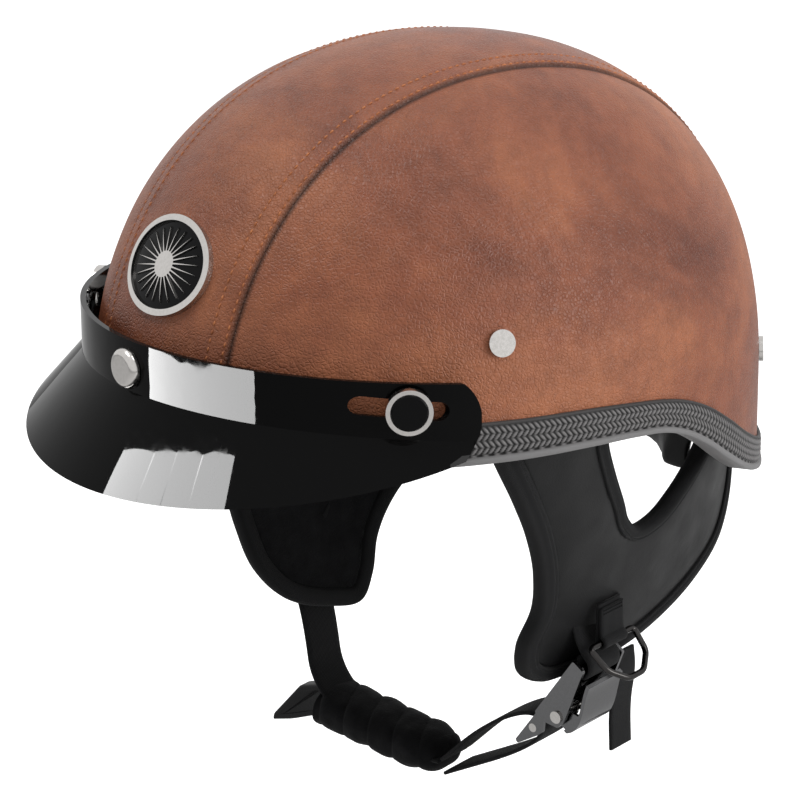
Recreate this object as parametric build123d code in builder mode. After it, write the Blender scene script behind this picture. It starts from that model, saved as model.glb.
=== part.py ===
from build123d import *

from math import cos, hypot, pi, radians, sin, sqrt
import os

os.makedirs("parts", exist_ok=True)

# driving dimensions of the helmet, millimetres: the front faces -Y, the wearer's left is +X,
# and z = 0 is the widest plane of the dome
helmet_length = 278.0
helmet_width = 230.0
crown_height = 140.0
dome_power = 2.3
dome_level_shares = (-0.6, -0.3, 0.0, 0.25, 0.5, 0.7, 0.84, 0.93, 0.98, 0.997)
leather_thickness = 1.2
shell_thickness = 3.0
foam_thickness = 24.0
pad_thickness = 8.0
layer_gap = 0.1
soft_gap = 0.3
running_gap = 0.05
overrun = 6.0

half_length = helmet_length / 2
half_width = helmet_width / 2
shell_inset = leather_thickness + layer_gap
foam_inset = shell_inset + shell_thickness + layer_gap
pad_inset = foam_inset + foam_thickness + layer_gap
hollow_inset = pad_inset + pad_thickness

# rim: heights of its lowest line at the front and the back, and the band of the rubber trim
rim_front_height = 12.0
rim_back_height = -36.0
trim_wall = 2.5
trim_lip = 2.0
rim_drop = rim_front_height - rim_back_height
rim_y_shares = (-1.1, -0.35, -0.115, 0.015, 0.13, 0.215, 0.31, 0.424, 0.57, 0.785, 1.1)
rim_bottom_shares = (1.0, 1.0, 1.0, 0.985, 0.94, 0.85, 0.696, 0.473, 0.223, 0.01, 0.0)
rim_top_shares = (1.32, 1.31, 1.29, 1.255, 1.205, 1.14, 1.02, 0.82, 0.545, 0.26, 0.23)

# comfort pads: lowest and highest corners as shares of the half width, half length and height
pad_corner_shares = {
    "pad_crown": ((-0.36, -0.42, 0.6), (0.36, 0.42, 1.2)),
    "pad_front": ((-0.4, -1.2, 0.22), (0.4, -0.5, 0.55)),
    "pad_back": ((-0.42, 0.5, 0.02), (0.42, 1.2, 0.5)),
    "pad_left": ((0.46, -0.36, 0.24), (1.2, 0.4, 0.55)),
    "pad_right": ((-1.2, -0.36, 0.24), (-0.46, 0.4, 0.55)),
}

# leather cover
centre_panel_width = 77.0
seam_gap = 0.6

# visor: an upright band on three snaps and a peak that flares out below it
visor_thickness = 2.2
band_half_length = 142.5
band_half_width = 119.2
band_front_top = 49.4
band_end_top = 43.6
band_front_crease = 30.0
band_end_crease = 22.0
band_end_y = -64.0
band_end_round = 8.0
peak_half_width = 106.3
peak_reach = 105.1
peak_end_y = -62.6
peak_end_height = 17.0
peak_front_height = 0.0
visor_travel = 2.5

# snaps
front_snap_height = 38.5
front_cap_diameter = 15.5
front_cap_rise = 3.4
stud_base_diameter = 10.0
stud_base_thickness = 1.6
stud_post_diameter = 4.0
stud_head_diameter = 5.0
stud_head_length = 1.8
cap_shank_diameter = 6.4
cap_flange_diameter = 9.6
side_snap_y = -87.5
side_snap_height = 36.0
side_cap_diameter = 17.0
side_cap_thickness = 3.6
side_post_diameter = 5.0
side_collar_diameter = 10.0
slot_length = 30.0
slot_height = 7.0
slot_forward_share = 0.07
slot_tilt = -7.7
side_rim = 1.6

# strap rivets
rivet_head_diameter = 10.0
rivet_head_height = 1.7
rivet_shank_diameter = 4.0
washer_diameter = 9.0
washer_thickness = 1.0
front_rivet_y = -50.5
front_rivet_height = 54.5
rear_rivet_y = 108.5
rear_rivet_height = 12.0

# medallion on the centre line
badge_height = 74.0
badge_width = 46.0
badge_length = 38.0
badge_thickness = 2.2
badge_border = 2.4
badge_ray_count = 24
badge_hub_diameter = 10.0
badge_pin_diameter = 2.4
badge_pin_spacing = 20.0

# ear flaps and their webbing
flap_drop = 115.0
flap_thickness = 6.0
flap_inset = 9.2
flap_lean = 0.352
binding_width = 5.5
binding_wall = 0.8
webbing_width = 20.0
webbing_thickness = 1.5
flap_level_shares = (0.26, 0.1, -0.17, -0.31, -0.52, -1.09)
flap_length_shares = (0.945, 0.957, 0.978, 1.007, 1.079, 1.26)
flap_start_angle = -38.0
flap_arc = 102.0
near_edge_shares = (
    (-0.43, 0.24), (-0.355, 0.053), (-0.265, -0.12), (-0.189, -0.276), (-0.125, -0.45),
    (-0.095, -0.6), (-0.11, -0.74), (-0.078, -0.847), (0.01, -0.9), (0.11, -0.905), (0.22, -0.9),
    (0.34, -0.875), (0.48, -0.815), (0.63, -0.72), (0.74, -0.62), (0.79, -0.45), (0.79, -0.2),
)
far_edge_shares = (
    (-0.45, 0.24), (-0.43, 0.05), (-0.365, -0.2), (-0.33, -0.42), (-0.315, -0.6),
    (-0.28, -0.76), (-0.2, -0.875), (-0.06, -0.945), (0.07, -0.955), (0.12, -0.88),
    (0.165, -0.76), (0.27, -0.62), (0.45, -0.5), (0.63, -0.42), (0.74, -0.3), (0.77, -0.18),
)
window_shares = (
    (0.57, 0.0), (0.515, -0.1), (0.452, -0.197), (0.371, -0.29), (0.305, -0.343), (0.235, -0.352),
    (0.18, -0.3), (0.14, -0.225), (0.066, -0.09), (0.003, 0.04), (-0.05, 0.2),
)
upper_front_shares = ((-0.372, 0.44), (-0.363, 0.389), (-0.33, 0.29), (-0.3, 0.225))
near_front_shares = ((-0.25, 0.12), (-0.16, -0.05), (-0.05, -0.3), (0.02, -0.5), (0.05, -0.6))
near_rear_shares = ((0.66, -0.36), (0.5, -0.5), (0.34, -0.57), (0.24, -0.6))
far_front_shares = ((-0.27, 0.12), (-0.2, -0.05), (-0.13, -0.3), (-0.09, -0.5), (-0.07, -0.72))
far_rear_shares = ((0.6, -0.28), (0.4, -0.38), (0.17, -0.55), (0.03, -0.7))
upper_rear_shares = ((0.785, 0.14), (0.78, 0.086), (0.765, -0.01), (0.745, -0.09))
rear_notch_shares = ((0.62, -0.36), (0.8, -0.055))
nape_thickness = 10.0
nape_top = -10.0
nape_bottom = -46.0
nape_start_y = 88.0

# chin assembly: it hangs in an upright plane turned a little about Z
chin_turn = 11.8
chin_shift = 4.6
chin_pad_width = 34.0
chin_pad_height = 19.0
chin_pad_pinch = 2.0
chin_pad_segments = 5

# route of the chin webbing in its plane, as shares of the chin height along and up
chin_height = 160.0
far_strap_shares = ((-0.455, -0.6), (-0.41, -0.69), (-0.372, -0.94), (-0.02, -0.99), (0.04, -0.985))
loop_shares = (
    (0.05, -0.975), (0.185, -0.84), (0.327, -0.756), (0.387, -0.784), (0.325, -0.865), (0.06, -1.01),
)
chin_pad_start_share = -0.39
chin_pad_end_share = 0.035
chin_pad_start_height_share = -0.945
chin_pad_end_height_share = -0.985
pad_tab_shares = (
    (-0.376, -0.9), (-0.46, -0.926), (-0.553, -1.032), (-0.555, -1.052), (-0.488, -1.032), (-0.376, -0.985),
)
pad_tab_width = 8.0

# buckle, in its own axes: u runs down the strap, v out from the neck, w across
pin_along = 69.0
pin_height = -118.0
strap_fall = 55.3
pin_diameter = 3.6
frame_wall = 1.5
frame_width = 27.4
frame_back = 8.4
frame_mouth = 6.0
lever_wall = 1.6
lever_width = 22.0
lever_reach = 20.0
latch_wall = 1.4
latch_width = 23.6
tongue_width = 14.0
tongue_length = 14.0
loop_bar_diameter = 3.6
loop_bar_along = 15.0
loop_bar_rise = -5.6

cheek_shares = (
    (-1.26, -0.42), (0.34, -0.42), (0.36, -0.2), (0.18, 0.15), (0.0, 0.19), (-0.18, 0.15), (-1.26, -0.12),
)
latch_shares = ((1.28, -0.42), (0.34, -0.41), (0.28, -0.26), (0.62, -0.06), (0.78, -0.1), (1.33, -0.34))
bridge_shares = (0.3, 0.42)
lever_shares = ((0.22, 0.32), (0.0, 0.42), (-0.32, 0.38), (-0.68, 0.24), (-0.99, 0.14))
buckle_web_shares = (
    (0.31, 2.1), (0.38, 1.72), (0.42, 1.42), (0.62, 1.2), (0.62, 1.0), (0.48, 0.84), (0.35, 1.0), (0.355, 1.3),
)
web_bar_along_share = -1.18
web_bar_rise_share = -0.23
web_bar_diameter = 3.0

# ring on the near flap
ring_wire = 2.5
ring_width = 31.0
ring_drop = 17.0
ring_along = 82.0
ring_height = -87.0
ring_across = 4.0
ring_tilt = 45.0
keeper_width = 15.0
tail_width = 14.0
tail_across = 21.5
tail_shares = ((0.3, 0.92), (0.36, 0.45), (0.24, -0.3), (0.28, -1.15))
strap_bend = 2.4


def dome(inset):
    """Solid dome with a straight skirt, lofted through level ellipses of the inset size."""
    height = crown_height - inset
    with BuildPart() as body:
        for level in dome_level_shares:
            with BuildSketch(Plane.XY.offset(level * height)):
                share = (1 - max(level, 0.0) ** dome_power) ** (1 / dome_power)
                Ellipse((half_width - inset) * share, (half_length - inset) * share)
        loft()
    return body.part


def dome_share(z, inset):
    """Share of the plan radius that the inset dome keeps at height z."""
    rise = max(z, 0.0) / (crown_height - inset)
    return (1 - rise ** dome_power) ** (1 / dome_power)


def dome_x(y, z, inset):
    """Half width of the inset dome at a place in side view."""
    share = dome_share(z, inset)
    return (half_width - inset) * sqrt(share ** 2 - (y / (half_length - inset)) ** 2)


def dome_front(z, inset):
    """Distance from the centre to the front of the inset dome at height z."""
    return (half_length - inset) * dome_share(z, inset)


def dome_normal(x, y, z):
    """Outward direction square to the dome at a point."""
    radius = hypot(x / half_width, y / half_length)
    plan = dome_power * radius ** (dome_power - 2)
    rise = dome_power * max(z, 0.0) ** (dome_power - 1) / crown_height ** dome_power
    return Vector(plan * x / half_width ** 2, plan * y / half_length ** 2, rise).normalized()


def dome_plane(y, z, inset=0.0):
    """Plane on the near side of the inset dome, facing out, with its x direction level."""
    point = Vector(dome_x(y, z, inset), y, z)
    out = dome_normal(point.X, point.Y, point.Z)
    return Plane(point, x_dir=Vector(0, 0, 1).cross(out), z_dir=out)


def rim_line(shares, lift=0.0):
    """Points of a rim line in side view."""
    return [
        (half_length * y, rim_back_height + rim_drop * s + lift) for y, s in zip(rim_y_shares, shares)
    ]


def above_rim(shares, lift=0.0):
    """Everything above a rim line, as a solid across the whole helmet."""
    points = rim_line(shares, lift)
    top = crown_height + overrun
    with BuildPart() as body:
        with BuildSketch(Plane.YZ):
            with BuildLine():
                Spline(*points, tangents=((1, 0), (1, 0)))
                Polyline(points[-1], (points[-1][0], top), (points[0][0], top), points[0])
            make_face()
        extrude(amount=half_width + peak_reach, both=True)
    return body.part


above_trim_bottom = above_rim(rim_bottom_shares)
above_shell_edge = above_rim(rim_bottom_shares, trim_lip)
above_trim_top = above_rim(rim_top_shares)
above_foam_edge = above_rim(rim_top_shares, soft_gap)


def both_sides(part):
    """A part of the near side together with its mirror image."""
    return Part() + [part, mirror(part, about=Plane.YZ)]


def depth_to_dome(plane, inset):
    """Distance from a plane's origin, along its inward normal, to the inset dome."""
    near, far = 0.0, pad_inset
    for _ in range(40):
        middle = (near + far) / 2
        point = plane.origin - plane.z_dir * middle
        share = dome_share(point.Z, inset)
        radius = hypot(point.X / (half_width - inset), point.Y / (half_length - inset))
        if radius > share:
            near = middle
        else:
            far = middle
    return far


# axes of the fasteners
rivet_planes = [
    dome_plane(front_rivet_y, front_rivet_height),
    dome_plane(rear_rivet_y, rear_rivet_height),
]
band_x = band_half_width * sqrt(1 - (side_snap_y / band_half_length) ** 2)
snap_out = Vector(band_x / band_half_width ** 2, side_snap_y / band_half_length ** 2, 0).normalized()
snap_plane = Plane((band_x, side_snap_y, side_snap_height), z_dir=snap_out)
snap_depth = depth_to_dome(snap_plane, 0.0)
front_plane = Plane((0, -band_half_length, front_snap_height), z_dir=(0, -1, 0))
front_depth = depth_to_dome(front_plane, 0.0)
badge_y = -dome_front(badge_height, 0.0)
badge_out = dome_normal(0, badge_y, badge_height)
badge_plane = Plane((0, badge_y, badge_height), x_dir=(1, 0, 0), z_dir=badge_out)
fastener_depth = foam_inset + webbing_thickness + 3 * soft_gap
washer_depth = fastener_depth + washer_thickness


def drill(radius, depth, planes, spots=((0, 0),)):
    """Cylinders that run inward from the given planes."""
    with BuildPart() as body:
        for plane in planes:
            with BuildSketch(plane.offset(overrun)):
                with Locations(*spots):
                    Circle(radius)
            extrude(amount=-(depth + overrun))
    return body.part


shank_radius = rivet_shank_diameter / 2
badge_pin_spots = ((-badge_pin_spacing / 2, 0), (badge_pin_spacing / 2, 0))
rivet_holes = both_sides(drill(shank_radius + running_gap, washer_depth, rivet_planes))
fastener_holes = rivet_holes + [
    both_sides(drill(side_post_diameter / 2 + running_gap, snap_depth + washer_depth, [snap_plane])),
    drill(stud_post_diameter / 2 + running_gap, front_depth + washer_depth, [front_plane]),
    drill(badge_pin_diameter / 2 + running_gap, washer_depth, [badge_plane], badge_pin_spots),
]
pocket_radius = washer_diameter / 2 + soft_gap
pocket_depth = washer_depth + rivet_head_height
foam_pockets = both_sides(drill(pocket_radius, snap_depth + pocket_depth, [snap_plane])) + [
    drill(pocket_radius, front_depth + pocket_depth, [front_plane]),
    drill(badge_pin_diameter + soft_gap, pocket_depth, [badge_plane], badge_pin_spots),
]

# hard shell under the leather
with BuildPart() as shell:
    add(dome(shell_inset))
    add(dome(shell_inset + shell_thickness), mode=Mode.SUBTRACT)
    add(above_shell_edge, mode=Mode.INTERSECT)
    add(fastener_holes, mode=Mode.SUBTRACT)
shell.part.label = "shell"
export_step(shell.part, "parts/shell.step")

# leather cover: a centre panel and two sides, met at the stitched seams
with BuildPart() as leather_cover:
    add(dome(0.0))
    add(dome(leather_thickness), mode=Mode.SUBTRACT)
    add(above_shell_edge, mode=Mode.INTERSECT)
    add(fastener_holes, mode=Mode.SUBTRACT)

box_depth = helmet_length + peak_reach
with BuildPart() as leather_centre:
    add(leather_cover.part)
    Box(centre_panel_width - seam_gap, box_depth, 2 * box_depth, mode=Mode.INTERSECT)
leather_centre.part.label = "leather_centre"
export_step(leather_centre.part, "parts/leather_centre.step")

for side, name in ((1, "leather_left"), (-1, "leather_right")):
    with BuildPart() as leather_side:
        add(leather_cover.part)
        with Locations((side * (centre_panel_width + seam_gap + helmet_width) / 2, 0, 0)):
            Box(helmet_width, box_depth, 2 * box_depth, mode=Mode.INTERSECT)
    leather_side.part.label = name
    export_step(leather_side.part, f"parts/{name}.step")

# rubber trim: a U over the edge of the shell and the leather
with BuildPart() as wrapped_edge:
    add(dome(-layer_gap))
    add(dome(foam_inset), mode=Mode.SUBTRACT)
    add(above_shell_edge, mode=Mode.INTERSECT)
with BuildPart() as edge_trim:
    add(dome(-trim_wall))
    add(dome(foam_inset + trim_wall), mode=Mode.SUBTRACT)
    add(above_trim_bottom, mode=Mode.INTERSECT)
    add(above_trim_top, mode=Mode.SUBTRACT)
    add(wrapped_edge.part, mode=Mode.SUBTRACT)
edge_trim.part.label = "edge_trim"
export_step(edge_trim.part, "parts/edge_trim.step")
print("layers done")


def chin_direction(along, up):
    """Direction in the upright plane of the chin strap."""
    turn = radians(chin_turn)
    return Vector(along * cos(turn), along * sin(turn), up)


across = Vector(-sin(radians(chin_turn)), cos(radians(chin_turn)), 0)
chin_plane = Plane((0, chin_shift, 0), x_dir=chin_direction(1, 0), z_dir=-across)


def drawn_in(points, distance):
    """Points of an outline moved to their left, towards its inside, by a distance."""
    moved = []
    for i, (y, z) in enumerate(points):
        behind, ahead = points[max(i - 1, 0)], points[min(i + 1, len(points) - 1)]
        run, rise = ahead[0] - behind[0], ahead[1] - behind[1]
        length = hypot(run, rise)
        moved.append((y - distance * rise / length, z + distance * run / length))
    return moved


def flap_plan(level, depth):
    """Half width and half length of the flap's surface at a height, at a depth below its face."""
    width = half_width - flap_inset + flap_lean * min(level - rim_front_height, 0.0)
    shares = sorted(zip(flap_level_shares, flap_length_shares))
    place = min(max(level / flap_drop, shares[0][0]), shares[-1][0])
    for (low, first), (high, last) in zip(shares, shares[1:]):
        if low <= place <= high:
            share = first + (last - first) * (place - low) / (high - low)
    return width - depth, half_length * share - depth


def flap_point(y_share, level_share, depth, side=1):
    """A point in the flap's thickness, given by shares of the half length and the drop."""
    level = level_share * flap_drop
    width, length = flap_plan(level, depth)
    y = y_share * half_length
    return Vector(side * width * sqrt(1 - (y / length) ** 2), y, level)


def flap_slab(outer_depth, inner_depth):
    """Curved sheet that the flaps are cut from, between two depths below its face."""
    with BuildPart() as body:
        for share in flap_level_shares:
            level = share * flap_drop
            outer = flap_plan(level, outer_depth)
            inner = flap_plan(level, inner_depth)
            with BuildSketch(Plane.XY.offset(level)):
                with BuildLine():
                    face = EllipticalCenterArc((0, 0), *outer, flap_start_angle, arc_size=flap_arc)
                    back = EllipticalCenterArc((0, 0), *inner, flap_start_angle, arc_size=flap_arc)
                    Line(face @ 0, back @ 0)
                    Line(face @ 1, back @ 1)
                make_face()
        loft(ruled=True)
    return body.part


def flap_outline(edge_shares, shrink):
    """Side outline of a flap, drawn in by a distance, as a solid across the near side."""
    edge = drawn_in([(half_length * y, flap_drop * z) for y, z in edge_shares], shrink)
    window = drawn_in([(half_length * y, flap_drop * z) for y, z in window_shares], shrink)
    lid = flap_drop * flap_level_shares[0] + overrun
    with BuildPart() as body:
        with BuildSketch(Plane.YZ):
            with BuildLine():
                Spline(*edge)
                Polyline(edge[-1], (edge[-1][0], lid), (window[0][0], lid), window[0])
                Spline(*window)
                Polyline(window[-1], (window[-1][0], lid), (edge[0][0], lid), edge[0])
            make_face()
        extrude(amount=half_width)
    return body.part


def ribbon(stations, width, thickness):
    """Flat webbing lofted through places that each hold a point and an outward direction."""
    points = [point for point, _ in stations]
    with BuildPart() as body:
        for i, (point, out) in enumerate(stations):
            ahead = points[min(i + 1, len(points) - 1)]
            behind = points[max(i - 1, 0)]
            tangent = (ahead - behind).normalized()
            with BuildSketch(Plane(point, x_dir=tangent.cross(out), z_dir=tangent)):
                Rectangle(width, thickness)
        loft(ruled=True)
    return body.part


def dome_station(y, z, inset):
    """Place for a ribbon on an inset dome."""
    plane = dome_plane(y, z, inset)
    return plane.origin, plane.z_dir


def flap_station(y_share, level_share, depth):
    """Place for a ribbon inside a flap."""
    point = flap_point(y_share, level_share, depth)
    width, length = flap_plan(point.Z, depth)
    return point, Vector(point.X / width ** 2, point.Y / length ** 2, 0).normalized()


def webbing_stations(upper_shares, lower_shares, depth):
    """Route of one leg of webbing: down inside the shell, then into the flap."""
    insets = [webbing_inset] * (len(upper_shares) - 1) + [trim_pass_inset]
    upper = [
        dome_station(half_length * y, crown_height * z, inset)
        for (y, z), inset in zip(upper_shares, insets)
    ]
    lower = [flap_station(y, z, depth) for y, z in lower_shares]
    return upper + lower


webbing_inset = foam_inset + soft_gap + webbing_thickness / 2
trim_pass_inset = webbing_inset + trim_wall + 2 * soft_gap
channel_inset = trim_pass_inset + webbing_thickness + soft_gap
front_depth_in_flap = flap_thickness / 2 - webbing_thickness * 0.6
rear_depth_in_flap = flap_thickness / 2 + webbing_thickness * 0.6
slot_grow = 2 * soft_gap
flap_sheet = flap_slab(0.0, flap_thickness)
bound_sheet = flap_slab(-binding_wall, flap_thickness + binding_wall)
strap_sets = {
    "left": (near_edge_shares, near_front_shares, near_rear_shares),
    "right": (far_edge_shares, far_front_shares, far_rear_shares),
}
strap_cavities = {}
for side_name, (edge_shares, front_shares, rear_shares) in strap_sets.items():
    routes = {
        "front": webbing_stations(upper_front_shares, front_shares, front_depth_in_flap),
        "rear": webbing_stations(upper_rear_shares, rear_shares, rear_depth_in_flap),
    }
    cavities = []
    for end, stations in routes.items():
        name = f"webbing_{end}_{side_name}"
        cavities.append(ribbon(stations, webbing_width + slot_grow, webbing_thickness + slot_grow))
        with BuildPart() as webbing:
            add(ribbon(stations, webbing_width, webbing_thickness))
            add(drill(shank_radius + running_gap, washer_depth, rivet_planes), mode=Mode.SUBTRACT)
            if side_name == "right":
                mirror(about=Plane.YZ, mode=Mode.REPLACE)
        webbing.part.label = name
        export_step(webbing.part, f"parts/{name}.step")
    strap_cavities[side_name] = cavities
print("webbing done")


def channel(places, near_foot, far_foot):
    """Upright cut for the legs of webbing in the foam's outer face, seen from the side."""
    reach = webbing_width / 2 + 2 * slot_grow
    points = [(half_length * y, crown_height * z) for y, z in places]
    (top_y, top_z), (next_y, next_z) = points[:2]
    points[0] = (2 * top_y - next_y, 2 * top_z - next_z)
    edges = [
        drawn_in(points + [(half_length * y, flap_drop * z)], sign * reach)
        for sign, (y, z) in ((1, near_foot), (-1, far_foot))
    ]
    with BuildPart() as body:
        with BuildSketch(Plane.YZ):
            with BuildLine():
                Polyline(*edges[0], *reversed(edges[1]), close=True)
            make_face()
        extrude(amount=half_width, both=True)
        add(dome(channel_inset), mode=Mode.SUBTRACT)
    return body.part


# foam liner, with pockets for the fasteners and channels for the webbing
with BuildPart() as foam_liner:
    add(dome(foam_inset))
    add(dome(pad_inset - layer_gap), mode=Mode.SUBTRACT)
    add(above_foam_edge, mode=Mode.INTERSECT)
    add(foam_pockets, mode=Mode.SUBTRACT)
    add(channel(upper_front_shares, near_front_shares[0], far_front_shares[0]), mode=Mode.SUBTRACT)
    add(channel(upper_rear_shares, near_rear_shares[0], far_rear_shares[0]), mode=Mode.SUBTRACT)
    (low_y, low_z), (high_y, high_z) = [(half_length * y, crown_height * z) for y, z in rear_notch_shares]
    with Locations((0, (low_y + high_y) / 2, (low_z + high_z) / 2)):
        Box(2 * half_width, high_y - low_y, high_z - low_z, mode=Mode.SUBTRACT)
foam_liner.part.label = "foam_liner"
export_step(foam_liner.part, "parts/foam_liner.step")
print("foam done")

# comfort pads inside the foam: crown, front, back and the two sides
with BuildPart() as pad_layer:
    add(dome(pad_inset))
    add(dome(hollow_inset), mode=Mode.SUBTRACT)
for name, (low, high) in pad_corner_shares.items():
    sizes = (half_width, half_length, crown_height)
    low_corner = [share * size for share, size in zip(low, sizes)]
    high_corner = [share * size for share, size in zip(high, sizes)]
    middle = [(a + b) / 2 for a, b in zip(low_corner, high_corner)]
    with BuildPart() as comfort_pad:
        add(pad_layer.part)
        with Locations(tuple(middle)):
            Box(*[b - a for a, b in zip(low_corner, high_corner)], mode=Mode.INTERSECT)
    comfort_pad.part.label = name
    export_step(comfort_pad.part, f"parts/{name}.step")

# nape pad: a padded band below the foam at the back, between the rear legs of the flaps
flap_back_depth = flap_thickness + binding_wall + 2 * soft_gap
nape_half_length = half_length - flap_inset - flap_back_depth - overrun
with BuildPart() as nape_pad:
    for level in (nape_bottom, nape_top):
        nape_half_width = flap_plan(level, flap_back_depth)[0]
        with BuildSketch(Plane.XY.offset(level)):
            Ellipse(nape_half_width, nape_half_length)
            Ellipse(nape_half_width - nape_thickness, nape_half_length - nape_thickness, mode=Mode.SUBTRACT)
    loft(ruled=True)
    add(above_trim_top, mode=Mode.SUBTRACT)
    with Locations((0, nape_start_y + half_length / 2, 0)):
        Box(helmet_width, half_length, helmet_length, mode=Mode.INTERSECT)
nape_pad.part.label = "nape_pad"
export_step(nape_pad.part, "parts/nape_pad.step")
print("pads done")


def degrees_of(sine):
    """Angle in degrees with the given sine."""
    return Vector(1, 0, 0).get_angle(Vector(sqrt(1 - sine ** 2), sine, 0))


def visor_section(front, end, radii):
    """Half ring of the visor on a level that slopes from the front to the ends."""
    (front_y, front_z), (end_y, end_z), (x_radius, centre_y) = front, end, radii
    slope = Vector(0, end_y - front_y, end_z - front_z).normalized()
    plane = Plane((0, front_y, front_z), x_dir=(1, 0, 0), z_dir=Vector(1, 0, 0).cross(slope))
    reach = (centre_y - front_y) / slope.Y
    turn = -degrees_of((end_y - centre_y) / (front_y - centre_y))
    with BuildSketch(plane) as section:
        with BuildLine():
            arcs = [
                EllipticalCenterArc(
                    (0, reach), x_radius - wall, reach - wall, turn, arc_size=-180 - 2 * turn
                )
                for wall in (0.0, visor_thickness)
            ]
            Line(arcs[0] @ 0, arcs[1] @ 0)
            Line(arcs[0] @ 1, arcs[1] @ 1)
        make_face()
    return section.sketch


band_radii = (band_half_width, 0.0)
top_section = visor_section((-band_half_length, band_front_top), (band_end_y, band_end_top), band_radii)
crease_section = visor_section(
    (-band_half_length, band_front_crease), (band_end_y, band_end_crease), band_radii
)
peak_section = visor_section(
    (peak_end_y - peak_reach, peak_front_height),
    (peak_end_y, peak_end_height),
    (peak_half_width, peak_end_y),
)
with BuildPart() as visor:
    add(loft([crease_section.face(), top_section.face()], mode=Mode.PRIVATE))
    add(loft([crease_section.face(), peak_section.face()], mode=Mode.PRIVATE))
    with BuildSketch(Plane.YZ):
        with BuildLine():
            end = ThreePointArc(
                (band_end_y - band_end_round, band_end_top + visor_thickness),
                (band_end_y, (band_end_top + band_end_crease) / 2),
                (band_end_y - band_end_round, peak_end_height - visor_thickness),
            )
            far_y = peak_end_y - 2 * peak_reach
            Polyline(end @ 1, (far_y, -peak_reach), (far_y, peak_reach), end @ 0)
        make_face()
    extrude(amount=helmet_width, both=True, mode=Mode.INTERSECT)
    with BuildSketch(Plane.YZ):
        with Locations((side_snap_y - slot_length * slot_forward_share, side_snap_height)):
            SlotOverall(slot_length, slot_height, rotation=slot_tilt)
    extrude(amount=helmet_width, both=True, mode=Mode.SUBTRACT)
    with BuildSketch(front_plane.offset(overrun)):
        Circle(cap_shank_diameter / 2 + running_gap)
    extrude(amount=-2 * overrun, mode=Mode.SUBTRACT)
visor.part.label = "visor"
export_step(visor.part, "parts/visor.step")
print("visor done", visor.part.bounding_box())


def inner_flange(plane, depth):
    """Clinched flange of a fastener against the inside of the shell, over its post's hole."""
    with BuildPart() as body:
        with BuildSketch(plane.offset(-depth)):
            Circle(washer_diameter / 2)
        extrude(amount=-fastener_depth)
        add(dome(foam_inset + running_gap), mode=Mode.INTERSECT)
    return body.part


# front snap: a domed cap and its socket ride on the visor, the stud stays on the shell
with BuildPart() as front_snap_cap:
    with BuildSketch(front_plane):
        Circle(front_cap_diameter / 2)
    extrude(amount=front_cap_rise)
    crown = front_snap_cap.faces().sort_by(Axis.Y)[0]
    fillet(crown.edges(), radius=front_cap_rise * 0.8)
    with BuildSketch(front_plane):
        Circle(cap_shank_diameter / 2)
    extrude(amount=-(visor_thickness + running_gap))
front_snap_cap.part.label = "front_snap_cap"
export_step(front_snap_cap.part, "parts/front_snap_cap.step")

socket_depth = visor_thickness + soft_gap / 2
with BuildPart() as front_snap_socket:
    with BuildSketch(front_plane.offset(-socket_depth)):
        Circle(cap_flange_diameter / 2)
        Circle(stud_head_diameter / 2 + running_gap, mode=Mode.SUBTRACT)
    extrude(amount=-stud_head_length)
front_snap_socket.part.label = "front_snap_socket"
export_step(front_snap_socket.part, "parts/front_snap_socket.step")

stud_head_depth = socket_depth + running_gap
stud_neck_depth = stud_head_depth + stud_head_length
with BuildPart() as front_snap_stud:
    with BuildSketch(front_plane.offset(-(stud_neck_depth + soft_gap))):
        Circle(stud_base_diameter / 2)
    extrude(amount=-(front_depth - stud_neck_depth + stud_base_thickness))
    add(dome(-running_gap), mode=Mode.SUBTRACT)
    add(inner_flange(front_plane, front_depth))
    with BuildSketch(front_plane.offset(-stud_head_depth)):
        Circle(stud_head_diameter / 2)
    extrude(amount=-stud_head_length)
    with BuildSketch(front_plane.offset(-stud_neck_depth)):
        Circle(stud_post_diameter / 2)
    extrude(amount=-(front_depth + fastener_depth - stud_neck_depth))
front_snap_stud.part.label = "front_snap_stud"
export_step(front_snap_stud.part, "parts/front_snap_stud.step")

# side snaps: a post through the shell and the visor's slot, a collar inside it and a cap outside
cap_clearance = visor_travel * abs(snap_out.Y) + soft_gap
with BuildPart() as side_posts:
    with BuildSketch(snap_plane.offset(-(visor_thickness + soft_gap))):
        Circle(side_collar_diameter / 2)
    extrude(amount=-(snap_depth + stud_base_thickness))
    add(dome(-running_gap), mode=Mode.SUBTRACT)
    add(inner_flange(snap_plane, snap_depth))
    with BuildSketch(snap_plane.offset(cap_clearance)):
        Circle(side_post_diameter / 2)
    extrude(amount=-(cap_clearance + snap_depth + fastener_depth))
with BuildPart() as side_cap:
    with BuildSketch(snap_plane.offset(cap_clearance)):
        Circle(side_cap_diameter / 2 - side_rim)
    extrude(amount=side_cap_thickness)
    fillet(side_cap.faces().sort_by(Axis(snap_plane.origin, snap_out))[-1].edges(), radius=side_rim * 0.6)
with BuildPart() as side_ring:
    with BuildSketch(snap_plane.offset(cap_clearance)):
        Circle(side_cap_diameter / 2)
        Circle(side_cap_diameter / 2 - side_rim, mode=Mode.SUBTRACT)
    extrude(amount=side_cap_thickness - side_rim * 0.4)
for name, piece in (("side_posts", side_posts), ("side_caps", side_cap), ("side_rings", side_ring)):
    with BuildPart() as pair:
        add(piece.part)
        mirror(about=Plane.YZ)
    pair.part.label = name
    export_step(pair.part, f"parts/{name}.step")

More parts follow.
